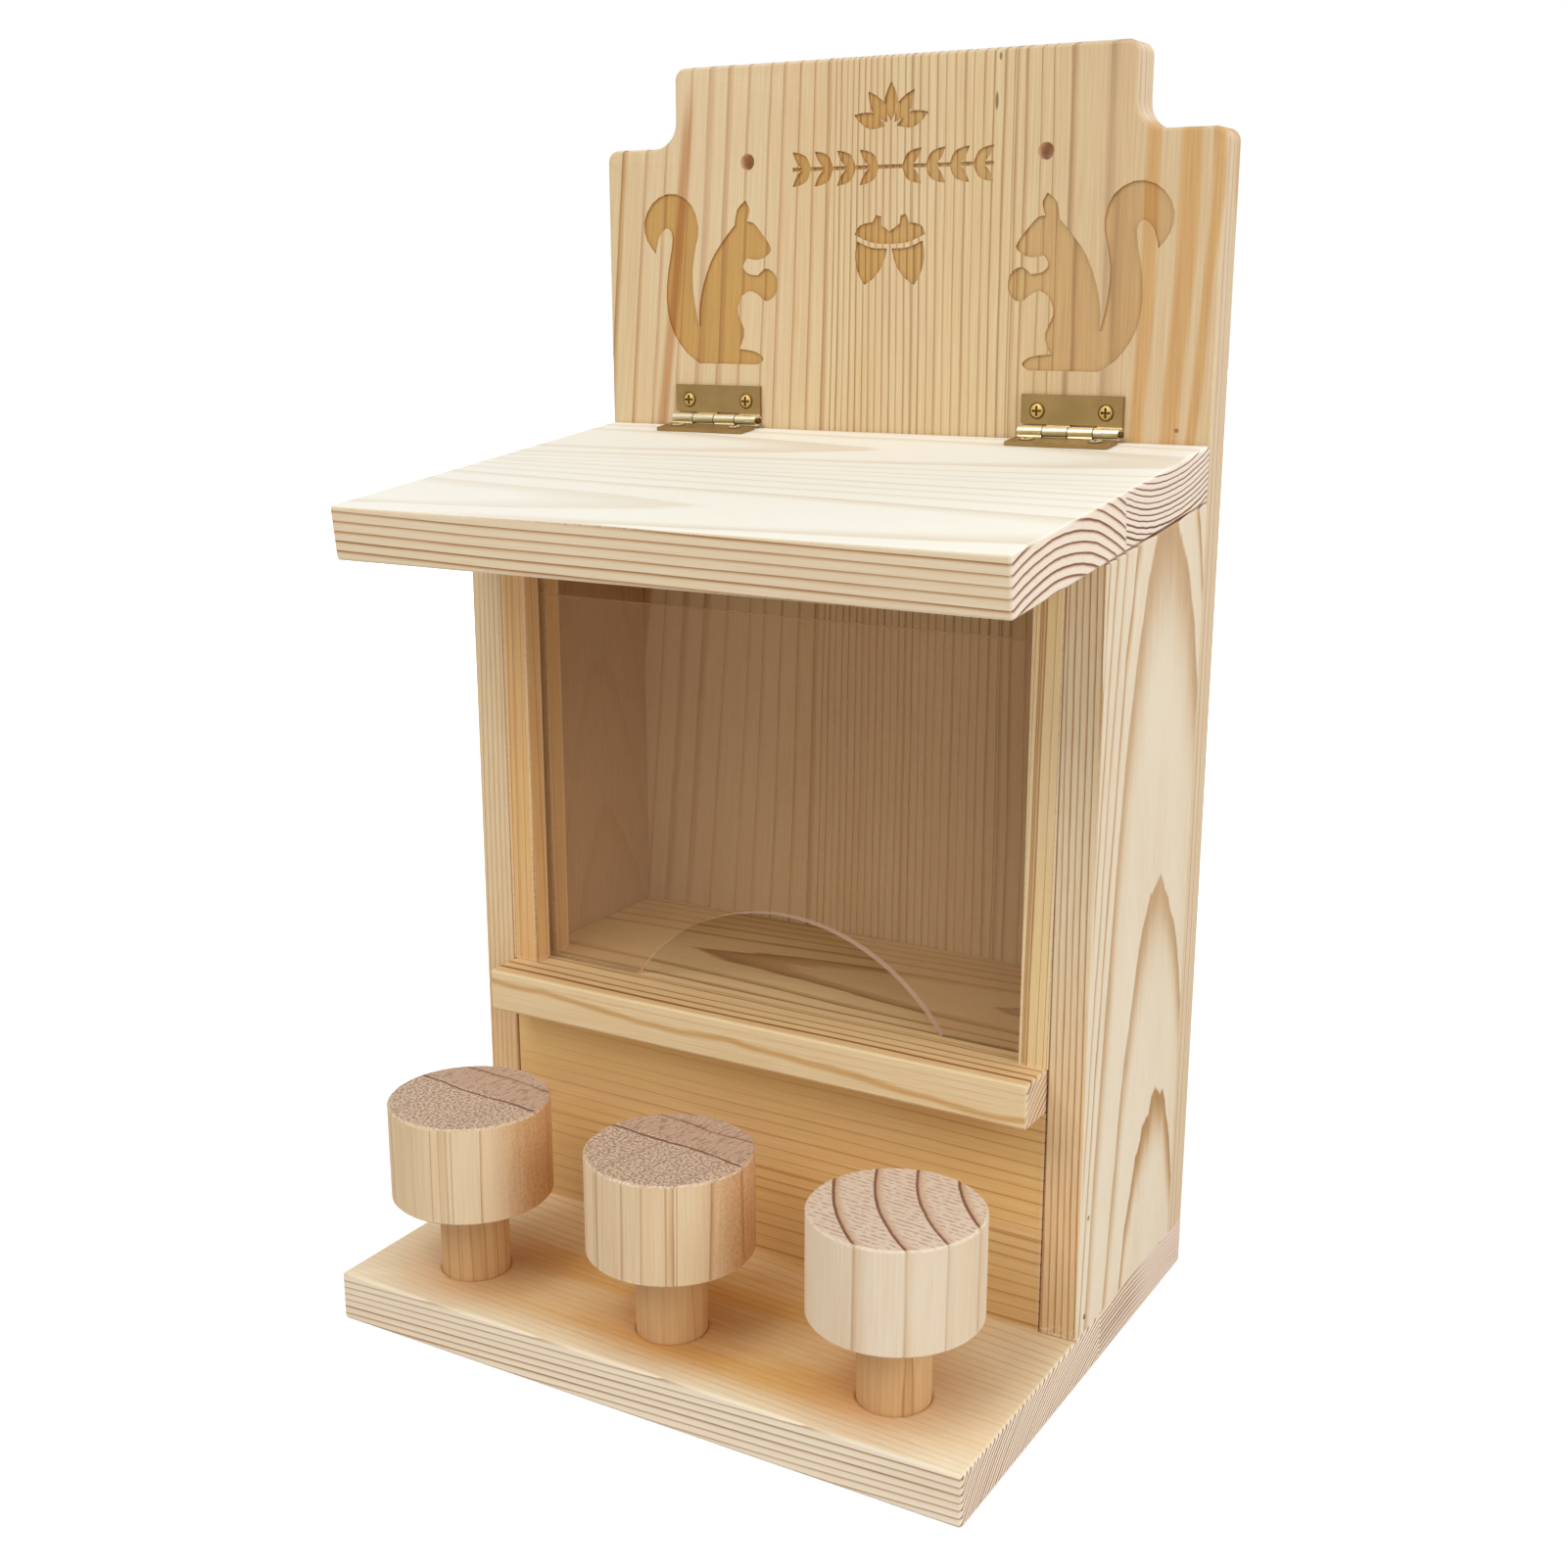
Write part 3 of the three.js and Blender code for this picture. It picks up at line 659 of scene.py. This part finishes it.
def round_outline(node, ease):
    """A rounding solid round the outline of an upright board."""
    board = bmesh.new()
    board.from_mesh(nodes[node].data)
    bmesh.ops.remove_doubles(board, verts=board.verts, dist=SAME_PLACE)
    depths = [vertex.co.y for vertex in board.verts]
    front, back = min(depths) - CUTTER_PLAY, max(depths) + CUTTER_PLAY
    foot = min(vertex.co.z for vertex in board.verts)
    rear = {
        face
        for face in board.faces
        if face.normal.y > 0.99 and face.calc_center_median().y > back - 10 * CUTTER_PLAY
    }
    beside = {}
    for edge in board.edges:
        if sum(face in rear for face in edge.link_faces) == 1:
            for vertex in edge.verts:
                beside.setdefault(vertex, []).append(edge.other_vert(vertex))
    loop = [min(beside, key=lambda vertex: (vertex.co.x, vertex.co.z))]
    step = beside[loop[0]][0]
    while step is not loop[0]:
        loop.append(step)
        step = next(vertex for vertex in beside[step] if vertex is not loop[-2])

    solid = bmesh.new()
    rims = []
    for y in (front, back):
        rim = []
        for vertex in loop:
            x, z = vertex.co.x, vertex.co.z
            drop = 2 * ease if z < foot + CUTTER_PLAY else -CUTTER_PLAY
            rim.append(solid.verts.new((x + math.copysign(CUTTER_PLAY, x), y, z - drop)))
        rims.append(rim)
        solid.faces.new(rim)
    for index in range(len(loop)):
        near, far = rims[0][index - 1], rims[1][index - 1]
        solid.faces.new((near, rims[0][index], rims[1][index], far))
    board.free()
    bmesh.ops.recalc_face_normals(solid, faces=solid.faces)
    edges = [e for e in solid.edges if abs(e.verts[0].co.y - e.verts[1].co.y) < SAME_PLACE]
    return rounding(f"{node}_rounding", solid, ease, edges, "feeder")


def leaning(wood):
    """The trunk leaned, so the rings on the board's left lean to the right as they rise."""
    lean = wood.x.fall(*LEAN_ENDS_X) * LEAN_SHARE
    return wood.join(wood.x - (wood.z - LEAN_LEVEL_Z) * lean, wood.y, wood.z)


back_span = span_of("back_board")
wood = Pine(
    "back pine",
    back_span,
    grain=(0.004, 0.002, 1),
    heart=(74, -18, 0),
    rings=[(79, 2.9, 0.5), (119, 1.45, 0.45), (136, 4.2, 0.35), (BARK, 6.0, 0.35)],
    bend=leaning,
    wander=0.5,
    uneven=0.35,
    late=0.9,
    pale=paint(226, 201, 156),
    dark=paint(150, 114, 72),
    seed=5,
)
wood.stain(wood.late * wood.x.fall(*LEFT_ENDS_X), 0.35, BACK_AMBER)
wood.stain(wood.x.rise(*BACK_SHADE_X), 0.6, BACK_SHADE, "MULTIPLY")
edge = wood.faces((1, 0, 0), both_ways=True)
wood.stain(edge, 0.5, BACK_EDGE)
wood.stain(edge * wood.line, 0.8, UMBER)
pink = wood.x.rise(*PINK_STARTS_X) * wood.x.fall(*PINK_ENDS_X) + wood.x.rise(*PINK_AGAIN_X)
wood.stain(pink, 0.35, BACK_PINK)

up = wood.z - BANDS_LEVEL_Z
wave = (wood.streaks(0.03, 0.008, shift=200) - 0.5) * BANDS_WAVE - up * BANDS_LEAN
for centre, half_width in HONEY_BANDS:
    band = abs(wood.x + wave - centre).fall(half_width * 0.55, half_width * 1.4)
    wood.stain(band, 0.75, BAND_HONEY)
streak = abs(wood.x - up * STREAK_LEAN + wave * STREAK_WAVE - STREAK_X).fall(*STREAK_REACH_X)
streak = streak * abs(wood.z - STREAK_Z).fall(*STREAK_REACH_Z)
wood.stain(streak, 0.7, STREAK_BROWN)

aside, depth = abs(wood.x), wood.y - back_span[0][1]
engraved = aside.fall(FIELD_HALF, FIELD_HALF + CUT_EDGE)
engraved = engraved * wood.z.fall(FIELD_TOP, FIELD_TOP + CUT_EDGE)
beside_crown = aside.rise(CROWN_HALF, CROWN_HALF + CUT_EDGE)
beside_crown = beside_crown * wood.z.rise(SHOULDER_TOP, SHOULDER_TOP + CUT_EDGE)
engraved = engraved * (1 - beside_crown) * depth.rise(*CUT_STARTS) * depth.fall(*CUT_ENDS)
wood.stain(engraved, 1 - wood.x.rise(*BURN_FADES_X) * 0.4, BURNT_TAN, "MULTIPLY")
wood.stain(engraved * depth.fall(*CUT_WALL_ENDS), 0.7, UMBER)
# Painted light: the walls of the two holes are painted pale, standing in for light that their
# shade keeps out.
for x, z in HOLE_PLACES:
    inside = away(wood.x - x, wood.z - z).fall(HOLE_REACH, HOLE_REACH + CUT_EDGE)
    wood.stain(inside * depth.rise(*HOLE_STARTS), 0.9, HOLE_PAINTED_LIGHT)
for x, z, half_width, half_height in PIN_KNOTS:
    reach = ((wood.x - x) / half_width) ** 2 + ((wood.z - z) / half_height) ** 2
    wood.stain(reach.fall(0.5, 1.6), 0.75, KNOT_BROWN)
dress("back_board", wood.done(), round_outline("back_board", BACK_EASE))


# Sides: two boards with upright grain, cut from near the bark, so that their outer faces show
# tall pointed arches. They are nailed to the lower panel, and the base and back board to them.

SIDE_EASE = 0.0005
ARCH_RINGS = [(100.8, 1.8, 0.4), (103.05, 2.25, 0.5), (106.9, 3.85, 0.5), (BARK, 1.3, 0.45)]
FRONT_EDGE_Y = -5.4
FRONT_SHIFT = 20
LOW_ENDS_Z = (40, 110)
TORN_ENDS_Z = (12.5, 16)
INNER_FACE_X = (73.6, 74.1)
EDGE_TAN = paint(242, 220, 182)
EDGE_LOW = paint(255, 236, 206)
INNER_PAINTED_SHADE = paint(176, 122, 66)

# Which way each side is out, how strongly its rings show, and its front edge's tan and lines
SIDES = {
    "right": dict(out=1, late=0.95, tan=0.45, line=0.4, seed=7),
    "left": dict(out=-1, late=0.4, tan=0.65, line=0.1, seed=11),
}


def close_front(wood):
    """The front edge shows rings from further out, which lie close together."""
    moved = wood.y - wood.y.sum("LESS_THAN", FRONT_EDGE_Y) * FRONT_SHIFT
    return wood.join(wood.x, moved, wood.z)


for side, trunk in SIDES.items():
    node = f"{side}_side_board"
    wood = Pine(
        f"{side} side pine",
        span_of(node),
        grain=(-0.042 * trunk["out"], -0.05, 1),
        heart=(-16 * trunk["out"], 40, 0),
        rings=ARCH_RINGS,
        bend=close_front,
        wander=0.45,
        uneven=0,
        late=trunk["late"],
        crisp=0.97,
        sharp=3.0,
        pale=paint(242, 229, 204),
        mid=paint(212, 172, 116),
        dark=paint(180, 132, 76),
        warm=paint(230, 204, 168),
        worn=0.15,
        seed=trunk["seed"],
    )
    front = wood.faces((0, 1, 0), both_ways=True)
    wood.stain(front, trunk["tan"], EDGE_TAN, "MULTIPLY")
    wood.stain(front * wood.z.fall(*LOW_ENDS_Z), 0.6, EDGE_LOW, "MULTIPLY")
    wood.stain(front * wood.line, trunk["line"], UMBER)
    torn = wood.noise(wood.spot, 1.0, 3.0).rise(0.5, 0.6)
    wood.stain(front * wood.z.fall(*TORN_ENDS_Z) * torn, 0.7, SANDED)
    # Painted shade: the inner face, with its rim beside the lower panel, is painted brown,
    # standing in for the shade in the gap there.
    wood.stain((wood.x * trunk["out"]).fall(*INNER_FACE_X), 0.8, INNER_PAINTED_SHADE)
    dress(node, wood.done(), round_hull([node], SIDE_EASE))


# Lower panel: a board with level grain between the sides, warmer than the rest.

PANEL_TAN = paint(228, 184, 118)
PANEL_PAINTED_LIGHT = paint(255, 224, 154)
PANEL_TAN_ENDS_X = (-76, -20)
PAINTED_LIGHT_STARTS_Z = (45, 57)
PAINTED_LIGHT_FADES_X = (0, 55)

wood = Pine(
    "panel pine",
    span_of("lower_front_panel"),
    grain=(1, 0, -0.012),
    heart=(0, -30, -60),
    rings=[(BARK, 2.9, 0.35)],
    wander=0.5,
    uneven=0.5,
    late=0.7,
    pale=paint(232, 192, 126),
    warm=paint(222, 176, 110),
    mid=paint(204, 154, 92),
    dark=paint(164, 102, 44),
    seed=13,
)
wood.stain(wood.x.fall(*PANEL_TAN_ENDS_X), 0.6, PANEL_TAN)
# Painted light: under the ledge, most on the left, the panel is painted a lighter gold against
# the ledge's shade.
painted_light_under_ledge = wood.z.rise(*PAINTED_LIGHT_STARTS_Z) * (1 - wood.x.rise(*PAINTED_LIGHT_FADES_X) * 0.8)
wood.stain(painted_light_under_ledge, 0.5, PANEL_PAINTED_LIGHT)
dress("lower_front_panel", wood.done())


# Hopper floor: a board with level grain, whose front lip is the feeding ledge. A honey streak
# wanders along the lip's front, and the rings show on its top, most strongly in front.

LEDGE_EASE = 0.0008
LEDGE_CREAM = paint(238, 212, 166)
LEDGE_TOP = paint(240, 220, 176)
LEDGE_STREAK = paint(206, 156, 84)
LEDGE_LINE = paint(146, 84, 38)
LIP_STREAK_Z = 70.3
LIP_STREAK_SLOPE = 0.035
LIP_STREAK_WAVE = 4.5
LIP_STREAK_REACH = (0.2, 1.2)
LIP_ENDS_Y = (-2, 8)

wood = Pine(
    "ledge pine",
    span_of("hopper_floor"),
    grain=(1, 0.02, 0.015),
    heart=(0, 22, 19),
    rings=[(BARK, 1.6, 0.4)],
    wander=0.6,
    uneven=0.5,
    pale=paint(240, 216, 172),
    end_pale=paint(232, 206, 172),
    end_dark=paint(120, 70, 40),
    seed=17,
)
front = wood.faces((0, 1, 0), both_ways=True)
wave = (wood.streaks(0.05, 0.035, shift=90) - 0.5) * LIP_STREAK_WAVE
streak = abs(wood.z - LIP_STREAK_Z + wood.x * LIP_STREAK_SLOPE + wave)
wood.stain(front, 0.85, LEDGE_CREAM)
wood.stain(front * streak.fall(*LIP_STREAK_REACH), 0.75, LEDGE_STREAK)
top = wood.faces((0, 0, 1))
wood.stain(top, 0.5, LEDGE_TOP, "MULTIPLY")
wood.stain(top * wood.late, 0.8 - wood.y.rise(*LIP_ENDS_Y) * 0.6, LEDGE_LINE)
dress("hopper_floor", wood.done(), round_hull(["hopper_floor"], LEDGE_EASE))


# Battens: four thin strips of pine with upright grain, two on each side, glued to the sides so
# that the window slides between each pair.

# Painted shade: the left battens' pale colour is darker and more orange than the right battens',
# though all four are the same pine.
BATTEN_GRAIN_AND_SHADE = {
    "left": dict(heart=(40, -70, 0), pale=paint(233, 187, 124)),
    "right": dict(heart=(-40, -70, 0), pale=paint(240, 212, 156)),
}

for seed, (side, rank) in enumerate(product(BATTEN_GRAIN_AND_SHADE, ("front", "rear")), start=19):
    node = f"{side}_{rank}_batten"
    wood = Pine(
        node.replace("_", " "),
        span_of(node),
        grain=(0.01, 0, 1),
        rings=[(BARK, 1.9, 0.4)],
        wander=0.4,
        seed=seed,
        **BATTEN_GRAIN_AND_SHADE[side],
    )
    dress(node, wood.done())


# Window: a clear acrylic sheet with an arch sawn from its lower edge, free in its grooves. Its
# foot is clearest, its faces nearly so, and its sawn edges are frosted. Its top edge is painted
# pale and nearly opaque: a painted highlight.

SHEET_TINT = paint(206, 164, 118)
SHEET_EDGE = paint(240, 210, 194)
SHEET_RIM = (0.5, 1)
SHEET_SMEARS = 0.05
FACE_COVER = 0.16
FOOT_COVER = 0.05
EDGE_COVER = 0.72
BROW_COVER = 0.98

sheet_low, sheet_high = span_of("window_panel")
acrylic = Finish("clear acrylic")
spot = acrylic.place()
height = acrylic.parts(spot)[2]
smear = acrylic.noise(spot, SHEET_SMEARS, 3.0)
broad = abs(acrylic.facing((0, 1, 0))).rise(0.4, 0.8)
level = abs(acrylic.facing((0, 0, 1))).rise(0.8, 0.95)
foot = level * (height - sheet_low[2]).fall(*SHEET_RIM)
# Painted highlight: the top edge is painted pale and nearly opaque.
brow_highlight = level * (sheet_high[2] - height).fall(*SHEET_RIM)
tint = acrylic.blend(broad, SHEET_EDGE, SHEET_TINT)
cover = (smear - 0.5) * 0.04 + EDGE_COVER
for where, wanted in ((broad, FACE_COVER), (foot, FOOT_COVER), (brow_highlight, BROW_COVER)):
    cover = cover + where * (wanted - EDGE_COVER)
dress(
    "window_panel",
    acrylic.surface(
        {
            "Base Color": acrylic.blend(brow_highlight, tint, SANDED),
            "Roughness": smear * 0.06 + 0.04,
            "Alpha": cover,
            "IOR": 1.49,
        }
    ),
)


# Lid: two edge-glued boards, pale and planed, with level grain. The front board's rings arch
# up and the rear board's cup, so the lid stays flat.

LID_PITCH = math.radians(6.5)
LID_UP = Vector((0, -math.sin(LID_PITCH), math.cos(LID_PITCH)))
LID_EASE = 0.0008
LID_TOP_PAINTED_LIGHT = paint(255, 254, 243)
LID_LINE = paint(214, 180, 122)
LID_SAWN = paint(122, 78, 50)

LID_BOARDS = {
    "front": dict(
        grain=(1, 0, -0.017),
        heart=(0, -89, -72),
        rings=[(BARK, 2.13, 0.5)],
        uneven=0,
        end_dark=paint(132, 86, 56),
        seed=29,
    ),
    "rear": dict(
        grain=(1, 0.01, 0.012),
        heart=(0, -21, 80),
        rings=[(BARK, 1.3, 0.5)],
        uneven=0.2,
        end_dark=paint(62, 34, 18),
        seed=31,
    ),
}

pivot = Vector(next(joint for joint in frame["joints"] if joint["name"] == "lid_hinge")["pos_m"])
lay_flat = Matrix.Rotation(-LID_PITCH, 4, "X") @ Matrix.Translation(-pivot)
lid_rounding = round_hull(["lid_front_board", "lid_rear_board"], LID_EASE, "lid")
for rank, trunk in LID_BOARDS.items():
    node = f"lid_{rank}_board"
    wood = Pine(
        f"lid {rank} pine",
        span_of(node, lay_flat),
        wander=0.4,
        late=1.0,
        warmth=0.1,
        pale=paint(238, 219, 187),
        dark=paint(152, 102, 56),
        end_pale=paint(252, 236, 218),
        lay=(tuple(MM_PER_M * pivot), LID_PITCH),
        **trunk,
    )
    top = wood.faces(LID_UP)
    # Painted light: the top face is painted near-white, lighter than the front and ends of the
    # same wood.
    wood.stain(top, 0.9, LID_TOP_PAINTED_LIGHT)
    wood.stain(top * wood.late, 0.3, LID_LINE)
    if rank == "rear":
        wood.stain(wood.end * wood.late.rise(0.1, 0.7), 0.75, LID_SAWN)
    dress(node, wood.done(), lid_rounding)


# Hinges: stamped brass leaves, knuckles rolled round a brass pin, and brass cross-recess screws.

BRASS = paint(168, 140, 90)
BRASS_BRIGHT = paint(250, 245, 226)
BRASS_PAINTED_REFLECTION = paint(168, 152, 104)
BRASS_GOLD = paint(218, 184, 112)
BRASS_BROWN = paint(96, 70, 36)
BARREL_REACH = (1.6, 1.8)
RECESS_SHADE_STARTS = (0.08, 0.3)
BRASS_CLOUDS = 0.12
BRASS_GRIME = 1.4
BRASS_GRAIN = 6.0
BRASS_BUMP = dict(strength=0.04, distance=0.0001)

# Which way each leaf's face looks, and the colour of its screws: the lower leaf's screws are
# painted near-white, painted light on the same brass as the upper ones
LEAVES = {
    "upper": (Vector((0, -1, 0)), BRASS_GOLD),
    # Painted light: the lower screws are near-white.
    "lower": (LID_UP, BRASS_BRIGHT),
}


def brass(name, tone, roughness, face=None, polish=1.0):
    """Rolled brass, tarnished a little and polished bright where it goes round the pin.

    A face is a direction and how far along it the outermost metal lies: below it brass is painted
    dark brown, a painted shade in the recesses.
    """
    metal = Finish(name)
    place = metal.place()
    _, y, z = metal.parts(place)
    from_pin = away(y - MM_PER_M * pivot.y, z - MM_PER_M * pivot.z)
    polished = from_pin.fall(*BARREL_REACH) * polish
    cloud = metal.noise(place, BRASS_CLOUDS, 2.0)
    grime = metal.noise(place, BRASS_GRIME, 4.0).rise(0.55, 0.8)
    colour = metal.blend(cloud.rise(0.3, 0.7) * 0.2, tone, BRASS_BROWN)
    colour = metal.blend(grime * 0.2, colour, BRASS_BROWN)
    colour = metal.blend(polished, colour, BRASS_BRIGHT)
    # Painted reflection: where the polished knuckles face the front they are painted dark olive,
    # standing in for a dark room reflected in them.
    painted_reflection = polished * abs(metal.facing((0, -1, 0))).rise(0.6, 0.95)
    colour = metal.blend(painted_reflection * 0.8, colour, BRASS_PAINTED_REFLECTION)
    if face:
        direction, level = face
        # Painted shade: the screws' cross recesses are darkened by their depth.
        depth = level - metal.vector("DOT_PRODUCT", place, direction, output="Value")
        colour = metal.blend(depth.rise(*RECESS_SHADE_STARTS) * 0.95, colour, BRASS_BROWN)
    return metal.surface(
        {
            "Base Color": colour,
            "Metallic": 1.0,
            "Roughness": (cloud - 0.5) * 0.1 + roughness - polished * 0.2,
            "Normal": metal.bump(metal.noise(place, BRASS_GRAIN, 2.0), **BRASS_BUMP),
        }
    )


leaf_brass = brass("leaf brass", BRASS, roughness=0.42)
pin_brass = brass("pin brass", BRASS_BROWN, roughness=0.4, polish=0.0)
for leaf, (outward, tone) in LEAVES.items():
    screw = nodes[f"left_hinge_{leaf}_screw_1"]
    level = MM_PER_M * max(outward.dot(vertex.co) for vertex in screw.data.vertices)
    screw_brass = brass(f"{leaf} screw brass", tone, roughness=0.44, face=(outward, level))
    for side in ("left", "right"):
        dress(f"{side}_hinge_{leaf}_leaf", leaf_brass)
        for number in (1, 2):
            dress(f"{side}_hinge_{leaf}_screw_{number}", screw_brass)
for side in ("left", "right"):
    dress(f"{side}_hinge_pin", pin_brass)


# Stools: seats turned from thick pine with upright grain, on dowels that are glued and screwed
# into the base. The right seat's rings are wide and dark, and its top shows rows of flecks that
# the saw left. The other two are torn to fuzz on top, combed flat behind a crack.

SEAT_ROSE = paint(234, 212, 190)
SEAT_TAN = paint(206, 166, 128)
SEAT_LINE = paint(116, 62, 34)
SEAT_FLECK = paint(194, 160, 134)
SEAT_FLANK_SHADE = paint(226, 180, 132)
FUZZ_PALE = paint(228, 200, 172)
FUZZ_DARK = paint(128, 94, 72)
FUZZ_BROWN = paint(196, 160, 134)
FUZZ_STRAND = paint(244, 228, 212)

CLEAN_SEAT = dict(
    uneven=0.0,
    late=0.4,
    sharp=18.0,
    pale=paint(238, 220, 194),
    end_pale=SEAT_ROSE,
    end_mid=SEAT_TAN,
    end_dark=SEAT_LINE,
    end_late=0.9,
)
FUZZY_SEAT = dict(
    uneven=1.0,
    late=0.5,
    sharp=5.0,
    pale=paint(236, 211, 174),
    end_pale=FUZZ_PALE,
    end_mid=FUZZ_PALE,
    end_dark=FUZZ_DARK,
    end_late=0.3,
)

# Where the tree's heart lies from a seat's middle, how wide its rings are, and its top
SEATS = {
    "left": dict(heart=(190, -40), rings=[(BARK, 4.6, 0.35)], fuzzy=True),
    "middle": dict(heart=(190, -50), rings=[(BARK, 4.6, 0.35)], fuzzy=True),
    "right": dict(heart=(61.2, 45.9), rings=[(BARK, 9.0, 0.32)], fuzzy=False),
}

SAW_TURN = math.radians(-5.5)
SAW_STEP = 1.45
SHADED_FLANK = (0.9, 0.43, 0)
COMBED_STARTS = (2.4, 4.5)
CRACKS = ((2.4, 0.9), (13, 0.6))
CRACK_REACH = (0.1, 0.6)
CRACK_WAVE = 4
SEAT_EDGE_REACH = (0.1, 0.7)
CLEAN_WORN = 0.4
FUZZY_WORN = 0.15
STEM_HEART = (30, -30)


def saw_lines(x, y):
    """How far a place is along the saw's marks, and across them."""
    turn, slide = math.cos(SAW_TURN), math.sin(SAW_TURN)
    return x * turn + y * slide, y * turn - x * slide


def fleck(wood):
    """Rows of torn fibres across the top, between the dark rings."""
    along, across = saw_lines(wood.x, wood.y)
    row = abs((across / SAW_STEP).sum("FRACT") - 0.5).fall(0.12, 0.4)
    flecks = row * wood.noise(wood.join(along * 0.5, across), 1.1, 2.0).rise(0.42, 0.56)
    wood.stain(flecks * (1 - wood.late) * wood.end, 0.75, SEAT_FLECK)


def fuzz(wood, middle):
    """A top torn to fuzz, combed behind its middle and cracked along the saw's marks."""
    along, across = saw_lines(wood.x, wood.y)
    behind = across - saw_lines(middle[0], middle[1])[1]
    far = behind.rise(*COMBED_STARTS)
    torn = wood.noise(wood.spot, 1.5, 5.0).rise(0.43, 0.6)
    strand = wood.noise(wood.spot, 3.0, 2.0).rise(0.58, 0.66)
    combed = wood.noise(wood.join(along, across * 0.3), 1.1, 4.0).rise(0.5, 0.65)
    wood.stain(wood.end * far, 0.6, FUZZ_BROWN)
    wood.stain(wood.end * torn, 0.75 - far * 0.5, FUZZ_DARK)
    wood.stain(wood.end * far * combed, 0.5, FUZZ_DARK)
    wood.stain(wood.end * strand, 0.5 - far * 0.2, FUZZ_STRAND)
    # Painted shade: the seat's flank that faces away from the key lamp is painted darker orange.
    shaded_flank = wood.facing(SHADED_FLANK).rise(0.35, 0.95)
    wood.stain(shaded_flank, torn * 0.3 + 0.5, SEAT_FLANK_SHADE, "MULTIPLY")
    bent = (wood.noise(wood.join(along * 0.5, across), 0.12, 5.0) - 0.5) * CRACK_WAVE
    for place, strength in CRACKS:
        crack = abs(behind - place + bent).fall(*CRACK_REACH)
        wood.stain(crack * wood.end, strength, SEAT_LINE)


for index, (side, trunk) in enumerate(SEATS.items()):
    node = f"{side}_stool_seat"
    low, high = span_of(node)
    middle = (low + high) / 2
    wood = Pine(
        node.replace("_", " "),
        (low, high),
        grain=(0.01, 0, 1),
        heart=(middle[0] + trunk["heart"][0], middle[1] + trunk["heart"][1], 0),
        rings=trunk["rings"],
        wander=0.35,
        crisp=0.96,
        seed=37 + index,
        **(FUZZY_SEAT if trunk["fuzzy"] else CLEAN_SEAT),
    )
    if trunk["fuzzy"]:
        fuzz(wood, middle)
    else:
        fleck(wood)
    inward = (high[0] - middle[0]) - away(wood.x - middle[0], wood.y - middle[1])
    from_edge = (wood.z - low[2]).least(high[2] - wood.z).most(inward)
    worn = FUZZY_WORN if trunk["fuzzy"] else CLEAN_WORN
    wood.wear(from_edge.fall(*SEAT_EDGE_REACH) * worn)
    dress(node, wood.done())

    stem = Pine(
        f"{side} stool stem",
        span_of(f"{side}_stool_stem"),
        grain=(0, 0, 1),
        heart=(middle[0] + STEM_HEART[0], middle[1] + STEM_HEART[1], 0),
        rings=[(BARK, 2.6, 0.35)],
        late=0.5,
        pale=paint(216, 174, 122),
        warm=paint(208, 160, 104),
        mid=paint(184, 132, 80),
        dark=paint(150, 96, 50),
        seed=41 + index,
    )
    dress(f"{side}_stool_stem", stem.done())


# Nails: plain steel brads set below the wood, and the stools' steel screws.

STEEL_GREY = paint(120, 112, 104)
STEEL_RUST = paint(84, 64, 50)

steel = Finish("nail steel")
rust = steel.noise(steel.place(), 1.2, 3.0)
nail_steel = steel.surface(
    {
        "Base Color": steel.blend(rust.rise(0.45, 0.75), STEEL_GREY, STEEL_RUST),
        "Metallic": 0.9,
        "Roughness": rust * 0.3 + 0.3,
    }
)
for node in sorted(nodes):
    if "_brad_" in node or node.endswith("_stool_screw"):
        dress(node, nail_steel)
